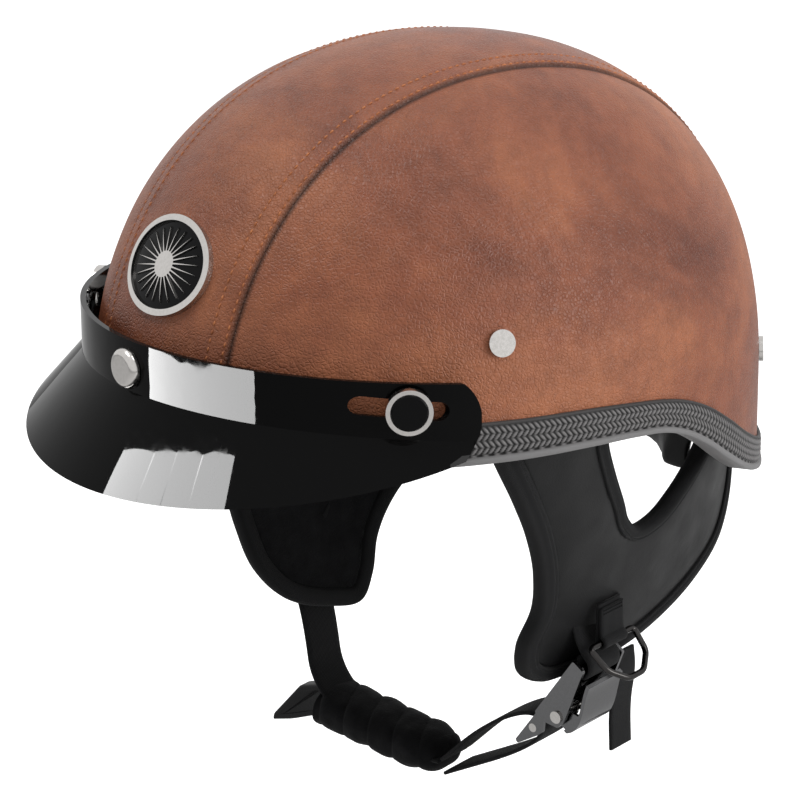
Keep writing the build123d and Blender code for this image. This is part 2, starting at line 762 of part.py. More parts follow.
# strap rivets and the washers on their inner ends
with BuildPart() as rivet:
    for plane in rivet_planes:
        with BuildSketch(plane):
            Circle(rivet_head_diameter / 2)
        extrude(amount=rivet_head_height)
        with BuildSketch(plane):
            Circle(shank_radius)
        extrude(amount=-washer_depth)
with BuildPart() as washer:
    for plane in rivet_planes:
        with BuildSketch(plane.offset(-fastener_depth)):
            Circle(washer_diameter / 2)
            Circle(shank_radius + running_gap, mode=Mode.SUBTRACT)
        extrude(amount=-washer_thickness)
for name, piece in (("strap_rivets", rivet), ("rivet_washers", washer)):
    with BuildPart() as pair:
        add(piece.part)
        mirror(about=Plane.YZ)
    pair.part.label = name
    export_step(pair.part, f"parts/{name}.step")
print("snaps done")


def badge_layer(outer, inner):
    """Layer that follows the leather between two heights above it."""
    with BuildPart() as body:
        add(dome(-outer))
        add(dome(-inner), mode=Mode.SUBTRACT)
    return body.part


plate_rise = badge_thickness / 2
field_width = badge_width / 2 - badge_border
field_length = badge_length / 2 - badge_border
with BuildPart() as badge_plate:
    add(badge_layer(plate_rise, running_gap))
    with BuildSketch(badge_plane.offset(-badge_width)):
        Ellipse(field_width, field_length)
    extrude(amount=2 * badge_width, mode=Mode.INTERSECT)
    with BuildSketch(badge_plane.offset(plate_rise / 2)):
        with Locations(*badge_pin_spots):
            Circle(badge_pin_diameter / 2)
    extrude(amount=-(plate_rise / 2 + fastener_depth))
badge_plate.part.label = "badge_plate"
export_step(badge_plate.part, "parts/badge_plate.step")

with BuildPart() as badge_frame:
    add(badge_layer(badge_thickness, running_gap))
    with BuildSketch(badge_plane.offset(-badge_width)):
        Ellipse(badge_width / 2, badge_length / 2)
        Ellipse(field_width, field_length, mode=Mode.SUBTRACT)
    extrude(amount=2 * badge_width, mode=Mode.INTERSECT)
badge_frame.part.label = "badge_frame"
export_step(badge_frame.part, "parts/badge_frame.step")

with BuildPart() as badge_rays:
    add(badge_layer(badge_thickness * 0.8, plate_rise))
    with BuildSketch(badge_plane.offset(-badge_width)):
        Circle(badge_hub_diameter / 2)
        for i in range(badge_ray_count):
            turn = 2 * pi * i / badge_ray_count
            half = pi / badge_ray_count / 2
            tip = (field_width * 0.86 * cos(turn), field_length * 0.86 * sin(turn))
            sides = [
                (badge_hub_diameter * 0.45 * cos(turn + s), badge_hub_diameter * 0.45 * sin(turn + s))
                for s in (half, -half)
            ]
            with BuildLine():
                Polyline(sides[0], tip, sides[1], close=True)
            make_face()
    extrude(amount=2 * badge_width, mode=Mode.INTERSECT)
badge_rays.part.label = "badge_rays"
export_step(badge_rays.part, "parts/badge_rays.step")
print("badge done")


def chin_point(along, up, side=0.0):
    """A point by its place in the chin plane and its offset across it."""
    return chin_plane.origin + chin_direction(along, up) + across * side


def flat_strap(points, width, thickness, smallest):
    """Webbing that bends only in the chin plane, its width across it."""
    steps = [hypot(b[0] - a[0], b[1] - a[1]) for a, b in zip(points, points[1:])]
    radii = [max(smallest, 0.3 * min(a, b)) for a, b in zip(steps, steps[1:])]
    with BuildPart() as body:
        with BuildLine(chin_plane) as path:
            FilletPolyline(*points, radius=radii)
        start = Plane(path.wires()[0] @ 0, x_dir=across, z_dir=path.wires()[0] % 0)
        with BuildSketch(start):
            Rectangle(width, thickness)
        sweep(path=path.wires()[0])
    return body.part


def chin_places(shares, unit=1.0):
    """Points in the chin plane from shares of a length."""
    return [(unit * along, unit * up) for along, up in shares]


far_route = chin_places(far_strap_shares, chin_height)
loop_route = chin_places(loop_shares, chin_height)
with BuildPart() as chin_webbing:
    add(flat_strap(far_route, webbing_width, webbing_thickness, strap_bend))
chin_webbing.part.label = "chin_webbing"
export_step(chin_webbing.part, "parts/chin_webbing.step")
far_cavity = flat_strap(far_route, webbing_width + slot_grow, webbing_thickness + slot_grow, strap_bend)

with BuildPart() as chin_loop:
    add(flat_strap(loop_route, webbing_width, webbing_thickness, strap_bend))
chin_loop.part.label = "chin_loop"
export_step(chin_loop.part, "parts/chin_loop.step")
print("chin webbing done", chin_webbing.part.volume, chin_loop.part.volume)

# chin pad: a quilted sleeve round the webbing, pinched between its segments
pad_start = chin_height * chin_pad_start_share
pad_end = chin_height * chin_pad_end_share
sections = 4 * chin_pad_segments
with BuildPart() as chin_pad:
    for i in range(sections + 1):
        share = i / sections
        along = pad_start + (pad_end - pad_start) * share
        rise = chin_pad_start_height_share
        rise += (chin_pad_end_height_share - chin_pad_start_height_share) * share
        pinch = chin_pad_pinch * (1 - abs(sin(pi * share * chin_pad_segments)))
        if i in (0, sections):
            pinch += chin_pad_pinch
        level = Plane(chin_point(along, chin_height * rise), x_dir=across, z_dir=chin_direction(1, 0))
        with BuildSketch(level):
            Ellipse(chin_pad_width / 2 - pinch, chin_pad_height / 2 - pinch)
    loft(ruled=True)
    add(far_cavity, mode=Mode.SUBTRACT)
chin_pad.part.label = "chin_pad"
export_step(chin_pad.part, "parts/chin_pad.step")

with BuildPart() as pad_tab:
    with BuildSketch(chin_plane):
        with BuildLine():
            Polyline(*chin_places(pad_tab_shares, chin_height), close=True)
        make_face()
    extrude(amount=pad_tab_width / 2, both=True)
    add(chin_pad.part, mode=Mode.SUBTRACT)
    add(far_cavity, mode=Mode.SUBTRACT)
pad_tab.part.label = "pad_tab"
export_step(pad_tab.part, "parts/pad_tab.step")
print("chin pad done", len(chin_pad.part.solids()), len(pad_tab.part.solids()))

# buckle: u down the strap, v out from the neck, on a plane through the lever's pin
fall = radians(strap_fall)
down_strap = chin_direction(-cos(fall), -sin(fall))
pin_centre = chin_point(pin_along, pin_height)
buckle_plane = Plane(pin_centre, x_dir=down_strap, z_dir=-across)
unit = lever_reach
web_bar = (unit * web_bar_along_share, unit * web_bar_rise_share)
loop_bar = (loop_bar_along, loop_bar_rise)


def buckle_plate(shares, inner, outer, holes):
    """A pair of cheeks cut from one outline, with round holes, on both sides of the buckle."""
    with BuildPart() as body:
        for side in (1, -1):
            with BuildSketch(buckle_plane.offset(side * inner)) as sketch:
                with BuildLine():
                    Polyline(*chin_places(shares, unit), close=True)
                make_face()
                fillet(sketch.vertices(), radius=frame_wall * 0.6)
                for place, radius in holes:
                    with Locations(place):
                        Circle(radius, mode=Mode.SUBTRACT)
            extrude(amount=side * (outer - inner))
    return body.part


def buckle_bar(place, radius, length):
    """A round bar across the buckle."""
    with BuildPart() as body:
        with BuildSketch(buckle_plane):
            with Locations(place):
                Circle(radius)
        extrude(amount=length / 2, both=True)
    return body.part


def buckle_slab(low, high, width):
    """A flat block in the buckle between two corners in u and v."""
    with BuildPart() as body:
        with BuildSketch(buckle_plane):
            with Locations(((low[0] + high[0]) / 2, (low[1] + high[1]) / 2)):
                Rectangle(high[0] - low[0], high[1] - low[1])
        extrude(amount=width / 2, both=True)
    return body.part


frame_inner = frame_width / 2 - frame_wall
latch_inner = latch_width / 2 - latch_wall
pin_hole = pin_diameter / 2 + running_gap
with BuildPart() as buckle_frame:
    add(buckle_plate(cheek_shares, frame_inner, frame_width / 2, [((0, 0), pin_diameter / 2)]))
    add(buckle_slab((-unit, -frame_back), (frame_mouth, frame_wall - frame_back), frame_width))
    add(buckle_bar(web_bar, web_bar_diameter / 2, frame_width))
buckle_frame.part.label = "buckle_frame"
export_step(buckle_frame.part, "parts/buckle_frame.step")

with BuildPart() as buckle_pin:
    add(buckle_bar((0, 0), pin_diameter / 2, frame_width))
    for side in (1, -1):
        with BuildSketch(buckle_plane.offset(side * frame_width / 2)):
            Circle(pin_diameter * 0.7)
        extrude(amount=side * frame_wall * 0.6)
buckle_pin.part.label = "buckle_pin"
export_step(buckle_pin.part, "parts/buckle_pin.step")

tongue_top = frame_wall - frame_back + soft_gap + latch_wall
with BuildPart() as latch:
    holes = [(loop_bar, loop_bar_diameter / 2)]
    add(buckle_plate(latch_shares, latch_inner, latch_width / 2, holes))
    bridge_start, bridge_end = unit * bridge_shares[0], unit * bridge_shares[1]
    add(buckle_slab((bridge_start, tongue_top - latch_wall), (bridge_end, tongue_top), latch_width))
    add(buckle_slab((-tongue_length, tongue_top - latch_wall), (bridge_start, tongue_top), tongue_width))
    hole_low = (-tongue_length * 0.84, -frame_back)
    hole_high = (-tongue_length * 0.28, 0)
    add(buckle_slab(hole_low, hole_high, tongue_width * 0.56), mode=Mode.SUBTRACT)
latch.part.label = "latch"
export_step(latch.part, "parts/latch.step")

with BuildPart() as latch_bar:
    add(buckle_bar(loop_bar, loop_bar_diameter / 2, latch_width))
latch_bar.part.label = "latch_bar"
export_step(latch_bar.part, "parts/latch_bar.step")

ear_radius = pin_diameter * 0.95
lever_inner = lever_width / 2 - lever_wall
with BuildPart() as buckle_lever:
    with BuildSketch(buckle_plane):
        with BuildLine():
            outer = Spline(*chin_places(lever_shares, unit))
            inner_points = [(u, v - lever_wall) for u, v in chin_places(lever_shares, unit)]
            inner = Spline(*inner_points)
            Line(outer @ 0, inner @ 0)
            Line(outer @ 1, inner @ 1)
        make_face()
    extrude(amount=lever_width / 2, both=True)
    for side in (1, -1):
        with BuildSketch(buckle_plane.offset(side * lever_inner)):
            with BuildLine():
                Polyline(
                    (-ear_radius, 0),
                    (-unit * 0.32, unit * 0.38 - lever_wall / 2),
                    (0, unit * 0.42 - lever_wall / 2),
                    (ear_radius, unit * 0.3),
                    (ear_radius, 0),
                    close=True,
                )
            make_face()
            Circle(ear_radius)
            Circle(pin_hole, mode=Mode.SUBTRACT)
        extrude(amount=side * lever_wall)
    tooth_end = tongue_length * 0.33
    tooth_low = (-tooth_end - lever_wall, tongue_top - latch_wall + soft_gap)
    add(buckle_slab(tooth_low, (-tooth_end, unit * 0.36), tongue_width * 0.4))
buckle_lever.part.label = "buckle_lever"
export_step(buckle_lever.part, "parts/buckle_lever.step")

with BuildPart() as lever_spring:
    for side in (1, -1):
        with BuildSketch(buckle_plane.offset(side * lever_inner * 0.4)):
            Circle(pin_diameter * 0.8)
            Circle(pin_hole, mode=Mode.SUBTRACT)
        extrude(amount=side * lever_inner * 0.5)
lever_spring.part.label = "lever_spring"
export_step(lever_spring.part, "parts/lever_spring.step")
print("buckle done")

# webbing that ties the buckle to the near flap
buckle_web_route = [(pin_along + unit * a, pin_height + unit * b) for a, b in buckle_web_shares]
with BuildPart() as buckle_webbing:
    add(flat_strap(buckle_web_route, webbing_width, webbing_thickness, webbing_thickness * 1.1))
buckle_webbing.part.label = "buckle_webbing"
export_step(buckle_webbing.part, "parts/buckle_webbing.step")
buckle_web_cavity = flat_strap(
    buckle_web_route, webbing_width + slot_grow, webbing_thickness + slot_grow, webbing_thickness * 1.1
)

# ear flaps: a padded sheet inside the band that binds its edges
flap_cavities = {
    "left": strap_cavities["left"] + [buckle_web_cavity],
    "right": strap_cavities["right"] + [mirror(far_cavity, about=Plane.YZ)],
}
for side_name, (edge_shares, _, _) in strap_sets.items():
    cavities = flap_cavities[side_name]
    with BuildPart() as flap:
        add(flap_sheet)
        add(flap_outline(edge_shares, binding_width), mode=Mode.INTERSECT)
        add(above_trim_top, mode=Mode.SUBTRACT)
    with BuildPart() as binding:
        add(bound_sheet)
        add(flap_outline(edge_shares, -binding_wall), mode=Mode.INTERSECT)
        add(flap_outline(edge_shares, binding_width), mode=Mode.SUBTRACT)
        add(above_trim_top, mode=Mode.SUBTRACT)
    for name, piece in ((f"ear_flap_{side_name}", flap), (f"flap_binding_{side_name}", binding)):
        with BuildPart() as sewn:
            add(piece.part)
            for cavity in cavities:
                add(cavity, mode=Mode.SUBTRACT)
            if side_name == "right":
                mirror(about=Plane.YZ, mode=Mode.REPLACE)
        sewn.part.label = name
        export_step(sewn.part, f"parts/{name}.step")
        print(name, len(sewn.part.solids()), "solids")

# ring in its webbing keeper on the face of the near flap, and the loose end of the webbing
ring_centre = chin_point(ring_along, ring_height, ring_across)
tilt = radians(ring_tilt)
ring_down = chin_direction(sin(tilt), -cos(tilt))
ring_plane = Plane(ring_centre, x_dir=across, z_dir=across.cross(ring_down))
half_ring = ring_width / 2 - ring_wire / 2
with BuildPart() as d_ring:
    with BuildLine(ring_plane) as ring_path:
        FilletPolyline(
            (half_ring, 0),
            (half_ring * 0.9, ring_drop * 0.62),
            (half_ring * 0.35, ring_drop),
            (-half_ring * 0.35, ring_drop),
            (-half_ring * 0.9, ring_drop * 0.62),
            (-half_ring, 0),
            radius=ring_wire,
            close=True,
        )
    wire = ring_path.wires()[0]
    with BuildSketch(Plane(wire @ 0, z_dir=wire % 0)):
        Circle(ring_wire / 2)
    sweep(path=wire)
d_ring.part.label = "d_ring"
export_step(d_ring.part, "parts/d_ring.step")
print("ring", d_ring.part.volume, len(d_ring.part.solids()), d_ring.part.bounding_box())

keeper_plane = Plane(ring_centre, x_dir=chin_direction(1, 0), z_dir=-across)
keeper_bore = ring_wire / 2 + running_gap
keeper_wall = keeper_bore + webbing_thickness
keeper_rise = keeper_width * 1.05
with BuildPart() as ring_keeper:
    with BuildSketch(keeper_plane):
        Circle(keeper_wall)
        with Locations((-keeper_wall + webbing_thickness / 2, keeper_rise / 2)):
            Rectangle(webbing_thickness, keeper_rise)
        with Locations((-keeper_wall + webbing_thickness * 1.5, keeper_rise / 2 + keeper_bore / 2)):
            Rectangle(webbing_thickness, keeper_rise - keeper_bore)
        Circle(keeper_bore, mode=Mode.SUBTRACT)
    extrude(amount=keeper_width / 2, both=True)
ring_keeper.part.label = "ring_keeper"
export_step(ring_keeper.part, "parts/ring_keeper.step")

tail_route = [(pin_along + unit * a, pin_height + unit * b) for a, b in tail_shares]
with BuildPart() as webbing_tail:
    add(flat_strap(tail_route, tail_width, webbing_thickness, strap_bend))
webbing_tail = Pos(*(across * tail_across)) * webbing_tail.part
webbing_tail.label = "webbing_tail"
export_step(webbing_tail, "parts/webbing_tail.step")
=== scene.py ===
import bpy
import bmesh
import math
import numpy as np
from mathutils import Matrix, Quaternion, Vector, noise
from mathutils.geometry import delaunay_2d_cdt


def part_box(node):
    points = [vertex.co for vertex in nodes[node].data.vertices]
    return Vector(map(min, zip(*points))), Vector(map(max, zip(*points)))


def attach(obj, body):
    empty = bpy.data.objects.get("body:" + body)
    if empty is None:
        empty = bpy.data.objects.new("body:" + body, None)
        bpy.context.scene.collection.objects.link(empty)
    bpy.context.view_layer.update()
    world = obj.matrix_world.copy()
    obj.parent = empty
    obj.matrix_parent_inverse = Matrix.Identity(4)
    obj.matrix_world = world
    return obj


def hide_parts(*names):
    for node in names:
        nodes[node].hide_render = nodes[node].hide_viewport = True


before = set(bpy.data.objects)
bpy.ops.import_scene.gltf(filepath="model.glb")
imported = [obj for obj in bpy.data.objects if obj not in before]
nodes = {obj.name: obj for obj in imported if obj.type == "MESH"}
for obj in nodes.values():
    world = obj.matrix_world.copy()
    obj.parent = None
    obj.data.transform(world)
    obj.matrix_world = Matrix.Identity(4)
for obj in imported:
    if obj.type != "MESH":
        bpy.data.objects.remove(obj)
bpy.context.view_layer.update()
scene = bpy.context.scene
mm = 0.001
print("frame loaded", len(nodes), "nodes")

# the dome that everything sits on, in millimetres: front at -Y, wearer's left at +X
dome = {"halfWidth": 115.0, "halfLength": 139.0, "height": 140.0, "power": 2.3}
rimShares = {
    "y": (-1.1, -0.35, -0.115, 0.015, 0.13, 0.215, 0.31, 0.424, 0.57, 0.785, 1.1),
    "bottom": (1.0, 1.0, 1.0, 0.985, 0.94, 0.85, 0.696, 0.473, 0.223, 0.01, 0.0),
    "top": (1.32, 1.31, 1.29, 1.255, 1.205, 1.14, 1.02, 0.82, 0.545, 0.26, 0.23),
    "low": -36.0,
    "drop": 48.0,
}


def smoothLine(xs, ys, at):
    # cubic through given points, with the slopes of a Catmull-Rom curve
    xs, ys, at = np.asarray(xs, float), np.asarray(ys, float), np.asarray(at, float)
    slopes = np.gradient(ys, xs)
    i = np.clip(np.searchsorted(xs, at) - 1, 0, len(xs) - 2)
    step = xs[i + 1] - xs[i]
    t = np.clip((at - xs[i]) / step, 0, 1)
    a, b = ys[i], ys[i + 1]
    return (
        (2 * t**3 - 3 * t**2 + 1) * a + (t**3 - 2 * t**2 + t) * step * slopes[i]
        + (3 * t**2 - 2 * t**3) * b + (t**3 - t**2) * step * slopes[i + 1]
    )


def rimHeight(y, edge):
    share = smoothLine(rimShares["y"], rimShares[edge], np.asarray(y) / dome["halfLength"])
    return rimShares["low"] + rimShares["drop"] * share


def domeShare(z, inset=0.0):
    rise = np.clip(z, 0, None) / (dome["height"] - inset)
    return np.clip(1 - rise ** dome["power"], 0, 1) ** (1 / dome["power"])


def domeNormals(points):
    x, y, z = points[..., 0], points[..., 1], np.clip(points[..., 2], 0, None)
    b, a, h, p = dome["halfWidth"], dome["halfLength"], dome["height"], dome["power"]
    radius = np.maximum(np.hypot(x / b, y / a), 1e-4)
    plan = p * radius ** (p - 2)
    return unitRows(np.stack([plan * x / b**2, plan * y / a**2, p * z ** (p - 1) / h**p], -1))


def lineSteps(points):
    # how far along a polyline each of its points lies
    return np.r_[0, np.cumsum(np.linalg.norm(np.diff(points, axis=0), axis=1))]


def pointsAt(at, steps, points):
    return np.stack([np.interp(at, steps, points[:, k]) for k in range(points.shape[1])], -1)


def evenly(points, count):
    # points at even steps along a polyline
    steps = lineSteps(points)
    return pointsAt(np.linspace(0, steps[-1], count), steps, points)


def lineLength(points):
    return float(np.linalg.norm(np.diff(points, axis=0), axis=1).sum())


def unitRows(vectors):
    return vectors / np.linalg.norm(vectors, axis=-1, keepdims=True)


def openAhead(line):
    # the way ahead at each point of an open line
    return unitRows(np.vstack([line[1:], line[-1:]]) - np.vstack([line[:1], line[:-1]]))


def loopAhead(loop):
    # the way ahead at each point of a closed loop
    return unitRows(np.roll(loop, -1, 0) - np.roll(loop, 1, 0))


def leftOf(ahead):
    # a quarter turn to the left, in a flat drawing
    return np.stack([-ahead[:, 1], ahead[:, 0]], 1)


def sectionLine(x, lift):
    # the dome cut by an upright plane at x, from the front rim over the crown to the back rim
    b, a, h, p = dome["halfWidth"], dome["halfLength"], dome["height"], dome["power"]
    turn = np.linspace(-math.pi / 2, math.pi / 2, 900)
    y = a * math.sqrt(1 - (x / b) ** 2) * np.sin(turn)
    radius = np.clip(np.hypot(x / b, y / a), 0, 1)
    z = h * (1 - radius**p) ** (1 / p)
    line = np.stack([np.full_like(y, x), y, z], 1)
    skirt = np.linspace(-40, -0.3, 60)
    front = np.stack([np.full_like(skirt, x), np.full_like(skirt, y[0]), skirt], 1)
    back = np.stack([np.full_like(skirt, x), np.full_like(skirt, y[-1]), skirt[::-1]], 1)
    whole = np.concatenate([front, line, back])
    keep = whole[:, 2] >= rimHeight(whole[:, 1], "bottom") + lift
    return whole[keep]


def newMesh(name, points, faces, material):
    mesh = bpy.data.meshes.new(name)
    inMetres = np.asarray(points).reshape(-1, 3) * mm
    mesh.from_pydata(inMetres.tolist(), [], [list(map(int, face)) for face in faces])
    mesh.update()
    for polygon in mesh.polygons:
        polygon.use_smooth = True
    piece = bpy.data.objects.new(name, mesh)
    scene.collection.objects.link(piece)
    mesh.materials.append(material)
    return piece


def gridFaces(rows, columns, closeRows=False, closeColumns=False, start=0):
    faces = []
    for i in range(rows - (0 if closeRows else 1)):
        for j in range(columns - (0 if closeColumns else 1)):
            row, nextRow = start + i * columns, start + (i + 1) % rows * columns
            beside = (j + 1) % columns
            faces.append((row + j, row + beside, nextRow + beside, nextRow + j))
    return faces


def layFlat(piece, uv):
    # flat coordinates, one pair for each point of the mesh
    layer = piece.data.uv_layers.new(name="flat")
    corners = np.empty(len(piece.data.loops), int)
    piece.data.loops.foreach_get("vertex_index", corners)
    layer.data.foreach_set("uv", np.asarray(uv, float).reshape(-1, 2)[corners].ravel())


def gridMesh(name, grid, material, closeRows=False, closeColumns=False, uv=None, caps=False):
    rows, columns = grid.shape[:2]
    faces = gridFaces(rows, columns, closeRows, closeColumns)
    if caps:
        faces.append(tuple(range(columns))[::-1])
        faces.append(tuple(range((rows - 1) * columns, rows * columns)))
    piece = newMesh(name, grid, faces, material)
    if uv is not None:
        layFlat(piece, uv)
    return piece


def outward(piece):
    # turns the faces to point out of the closed form
    form = bmesh.new()
    form.from_mesh(piece.data)
    bmesh.ops.recalc_face_normals(form, faces=form.faces)
    form.to_mesh(piece.data)
    form.free()
    return piece


# finishes: every one is built from nodes, at the real scale of the grain or weave
class Finish:
    def __init__(self, name, colour, roughness, **sockets):
        self.material = bpy.data.materials.new(name)
        self.material.use_nodes = True
        self.tree = self.material.node_tree
        self.shader = self.tree.nodes["Principled BSDF"]
        self.shader.inputs["Base Color"].default_value = (*colour, 1)
        self.shader.inputs["Roughness"].default_value = roughness
        for socket, value in sockets.items():
            self.shader.inputs[socket.replace("_", " ")].default_value = value
        self.place = None
        self.normal = None

    def node(self, kind, links=None, **values):
        made = self.tree.nodes.new(kind)
        for key, value in values.items():
            setattr(made, key, value)
        for socket, source in (links or {}).items():
            if isinstance(source, (int, float, tuple)):
                made.inputs[socket].default_value = source
            else:
                self.tree.links.new(source, made.inputs[socket])
        return made

    def where(self, kind="Object"):
        if self.place is None:
            self.place = self.node("ShaderNodeTexCoord")
        return self.place.outputs[kind]

    def noise(self, scale, detail=3.0, roughness=0.55, distortion=0.0):
        links = {"Vector": self.where(), "Scale": scale, "Detail": detail}
        links.update({"Roughness": roughness, "Distortion": distortion})
        return self.node("ShaderNodeTexNoise", links).outputs["Fac"]

    def cells(self, scale, source=None):
        links = {"Vector": source or self.where(), "Scale": scale}
        return self.node("ShaderNodeTexVoronoi", links, feature="DISTANCE_TO_EDGE").outputs["Distance"]

    def wave(self, scale, direction):
        links = {"Vector": self.where("UV"), "Scale": scale, "Distortion": 0.0}
        return self.node("ShaderNodeTexWave", links, bands_direction=direction).outputs["Fac"]

    def vectors(self, operation, a, b):
        return self.node("ShaderNodeVectorMath", {0: a, 1: b}, operation=operation).outputs[0]

    def firstFlat(self):
        # the first of the two flat coordinates, which carries a value painted over the mesh
        return self.node("ShaderNodeSeparateXYZ", {0: self.where("UV")}).outputs[0]

    def ramp(self, source, stops):
        made = self.node("ShaderNodeValToRGB", {0: source})
        elements = made.color_ramp.elements
        while len(elements) < len(stops):
            elements.new(0.5)
        for element, (place, value) in zip(elements, stops):
            element.position = place
            element.color = (*value, 1) if isinstance(value, tuple) else (value, value, value, 1)
        return made.outputs[0]

    def maths(self, operation, a, b):
        return self.node("ShaderNodeMath", {0: a, 1: b}, operation=operation).outputs[0]

    def mix(self, share, a, b, blend="MIX"):
        made = self.node("ShaderNodeMix", data_type="RGBA", blend_type=blend)
        for socket, source in (("Factor_Float", share), ("A_Color", a), ("B_Color", b)):
            target = next(s for s in made.inputs if s.identifier == socket)
            if isinstance(source, tuple):
                target.default_value = (*source, 1)
            elif isinstance(source, float):
                target.default_value = source
            else:
                self.tree.links.new(source, target)
        return next(s for s in made.outputs if s.identifier == "Result_Color")

    def bump(self, source, depth, strength=1.0):
        # bumps laid one over another, each with its depth in metres
        links = {"Height": source, "Distance": depth, "Strength": strength}
        if self.normal is not None:
            links["Normal"] = self.normal
        self.normal = self.node("ShaderNodeBump", links).outputs["Normal"]
        self.tree.links.new(self.normal, self.shader.inputs["Normal"])

    def colour(self, source):
        self.tree.links.new(source, self.shader.inputs["Base Color"])

    def roughness(self, source):
        self.tree.links.new(source, self.shader.inputs["Roughness"])


brownLeather = {
    "dark": (0.135, 0.036, 0.017), "middle": (0.235, 0.074, 0.036), "light": (0.37, 0.132, 0.06),
    "patches": 13.0, "mottle": 90.0, "pebbles": 700.0, "creases": 150.0, "creasePatches": 17.0,
    "bend": 60.0, "bendReach": (0.012, 0.012, 0.012), "hemShade": ((0.0, 0.16), (0.05, 0.55), (0.09, 1.0)),
    "pebbleDepth": 0.00018, "creaseDepth": 0.0002, "wrinkles": 210.0, "wrinkleDepth": 0.0004,
}


def makeBrownLeather():
    look = brownLeather
    made = Finish("brownLeather", look["middle"], 0.4, Specular_IOR_Level=0.3)
    patches = made.noise(look["patches"], 5.0, 0.62, distortion=0.4)
    base = made.ramp(patches, ((0.30, look["dark"]), (0.47, look["middle"]), (0.68, look["light"])))
    mottle = made.ramp(made.noise(look["mottle"], 4.0, 0.7), ((0.34, 0.72), (0.62, 1.12)))
    base = made.mix(0.55, base, mottle, "MULTIPLY")
    bentLinks = {"Vector": made.where(), "Scale": look["bend"], "Detail": 3.0}
    bent = made.node("ShaderNodeTexNoise", bentLinks).outputs["Color"]
    bentPlace = made.vectors("ADD", made.where(), made.vectors("MULTIPLY", bent, look["bendReach"]))
    creases = made.ramp(made.cells(look["creases"], bentPlace), ((0.0, 0.0), (0.05, 1.0)))
    where = made.ramp(made.noise(look["creasePatches"], 2.0), ((0.42, 0.0), (0.6, 1.0)))
    creases = made.mix(where, (1.0, 1.0, 1.0), creases)
    # painted shade in the creases: the crease lines are also made slightly darker in colour
    base = made.mix(0.1, base, creases, "MULTIPLY")
    # painted shade along the hems, darkest at the seam, by the distance from the seam kept in the first flat
    # coordinate
    base = made.mix(1.0, base, made.ramp(made.firstFlat(), look["hemShade"]), "MULTIPLY")
    made.colour(base)
    pebbles = made.ramp(made.cells(look["pebbles"]), ((0.0, 0.0), (0.25, 1.0)))
    made.bump(pebbles, look["pebbleDepth"], 0.8)
    made.bump(creases, look["creaseDepth"], 0.35)
    made.bump(made.noise(look["wrinkles"], 4.0, 0.65), look["wrinkleDepth"], 0.55)
    made.roughness(made.ramp(patches, ((0.3, 0.34), (0.7, 0.47))))
    return made.material


blackLeather = {
    "dark": (0.007, 0.007, 0.0073), "light": (0.012, 0.012, 0.0123), "gloss": 0.17, "roughness": (0.4, 0.54),
    "patches": 30.0, "grain": 900.0, "grainDepth": 0.00007, "wrinkles": 70.0, "wrinkleDepth": 0.0006,
}


def makeBlackLeather():
    look = blackLeather
    made = Finish("blackLeather", look["light"], 0.5, Specular_IOR_Level=look["gloss"])
    made.colour(made.ramp(made.noise(look["patches"], 3.0), ((0.3, look["dark"]), (0.7, look["light"]))))
    made.bump(made.ramp(made.cells(look["grain"]), ((0.0, 0.0), (0.3, 1.0))), look["grainDepth"], 0.5)
    made.bump(made.noise(look["wrinkles"], 3.0), look["wrinkleDepth"], 0.35)
    smooth, dull = look["roughness"]
    made.roughness(made.ramp(made.noise(55.0), ((0.3, smooth), (0.7, dull))))
    return made.material


def makePlush(name, colour, depth):
    made = Finish(name, colour, 0.95, Specular_IOR_Level=0.05, Sheen_Weight=0.1, Sheen_Roughness=0.5)
    nap = made.noise(1400.0, 3.0, 0.7)
    clumps = made.noise(160.0, 3.0)
    light = tuple(c * 1.9 for c in colour)
    # painted highlight on the raised clumps and painted shade between them, from the same noise as their
    # bump
    made.colour(made.ramp(clumps, ((0.3, colour), (0.75, light))))
    made.bump(nap, depth, 0.8)
    made.bump(clumps, 0.0008, 0.5)
    return made.material


def makeWebbing(name, colour, across, along):
    # plain weave from two crossed waves in the strap's own flat coordinates
    made = Finish(name, colour, 0.75, Specular_IOR_Level=0.09, Sheen_Weight=0.05)
    warp = made.wave(across, "X")
    weft = made.wave(along, "Y")
    weave = made.maths("MULTIPLY", warp, weft)
    light = tuple(c * 2.3 for c in colour)
    # painted shade between the threads and a painted highlight on the raised threads, from the same weave as
    # the bump
    made.colour(made.ramp(weave, ((0.1, colour), (0.9, light))))
    made.bump(weave, 0.00028, 0.9)
    made.bump(made.noise(900.0, 2.0), 0.0001, 0.4)
    return made.material


def makeRubber(name, colour, roughness):
    # painted shade in the grooves and a painted highlight on what is raised, by the height kept in the first
    # flat coordinate
    made = Finish(name, colour, roughness, Specular_IOR_Level=0.18)
    low, high = tuple(c * 0.12 for c in colour), tuple(c * 1.6 for c in colour)
    made.colour(made.ramp(made.firstFlat(), ((0.2, low), (0.75, high))))
    made.bump(made.noise(1500.0, 3.0), 0.00008, 0.6)
    made.roughness(made.ramp(made.noise(120.0), ((0.3, roughness - 0.06), (0.7, roughness + 0.08))))
    return made.material


def makeGloss(name, colour):
    made = Finish(name, colour, 0.03, Specular_IOR_Level=0.07)
    made.roughness(made.ramp(made.noise(240.0, 4.0), ((0.45, 0.015), (0.8, 0.05))))
    return made.material


def makeMetal(name, colour, roughness, scratches=0.3):
    made = Finish(name, colour, roughness, Metallic=1.0)
    worn = made.noise(900.0, 3.0, 0.6)
    darker = tuple(c * 0.92 for c in colour)
    made.colour(made.ramp(worn, ((0.35, darker), (0.6, colour))))
    made.bump(made.noise(2600.0, 2.0), 0.00001, scratches)
    made.roughness(made.ramp(worn, ((0.3, roughness * 0.9), (0.75, roughness * 1.25))))
    return made.material


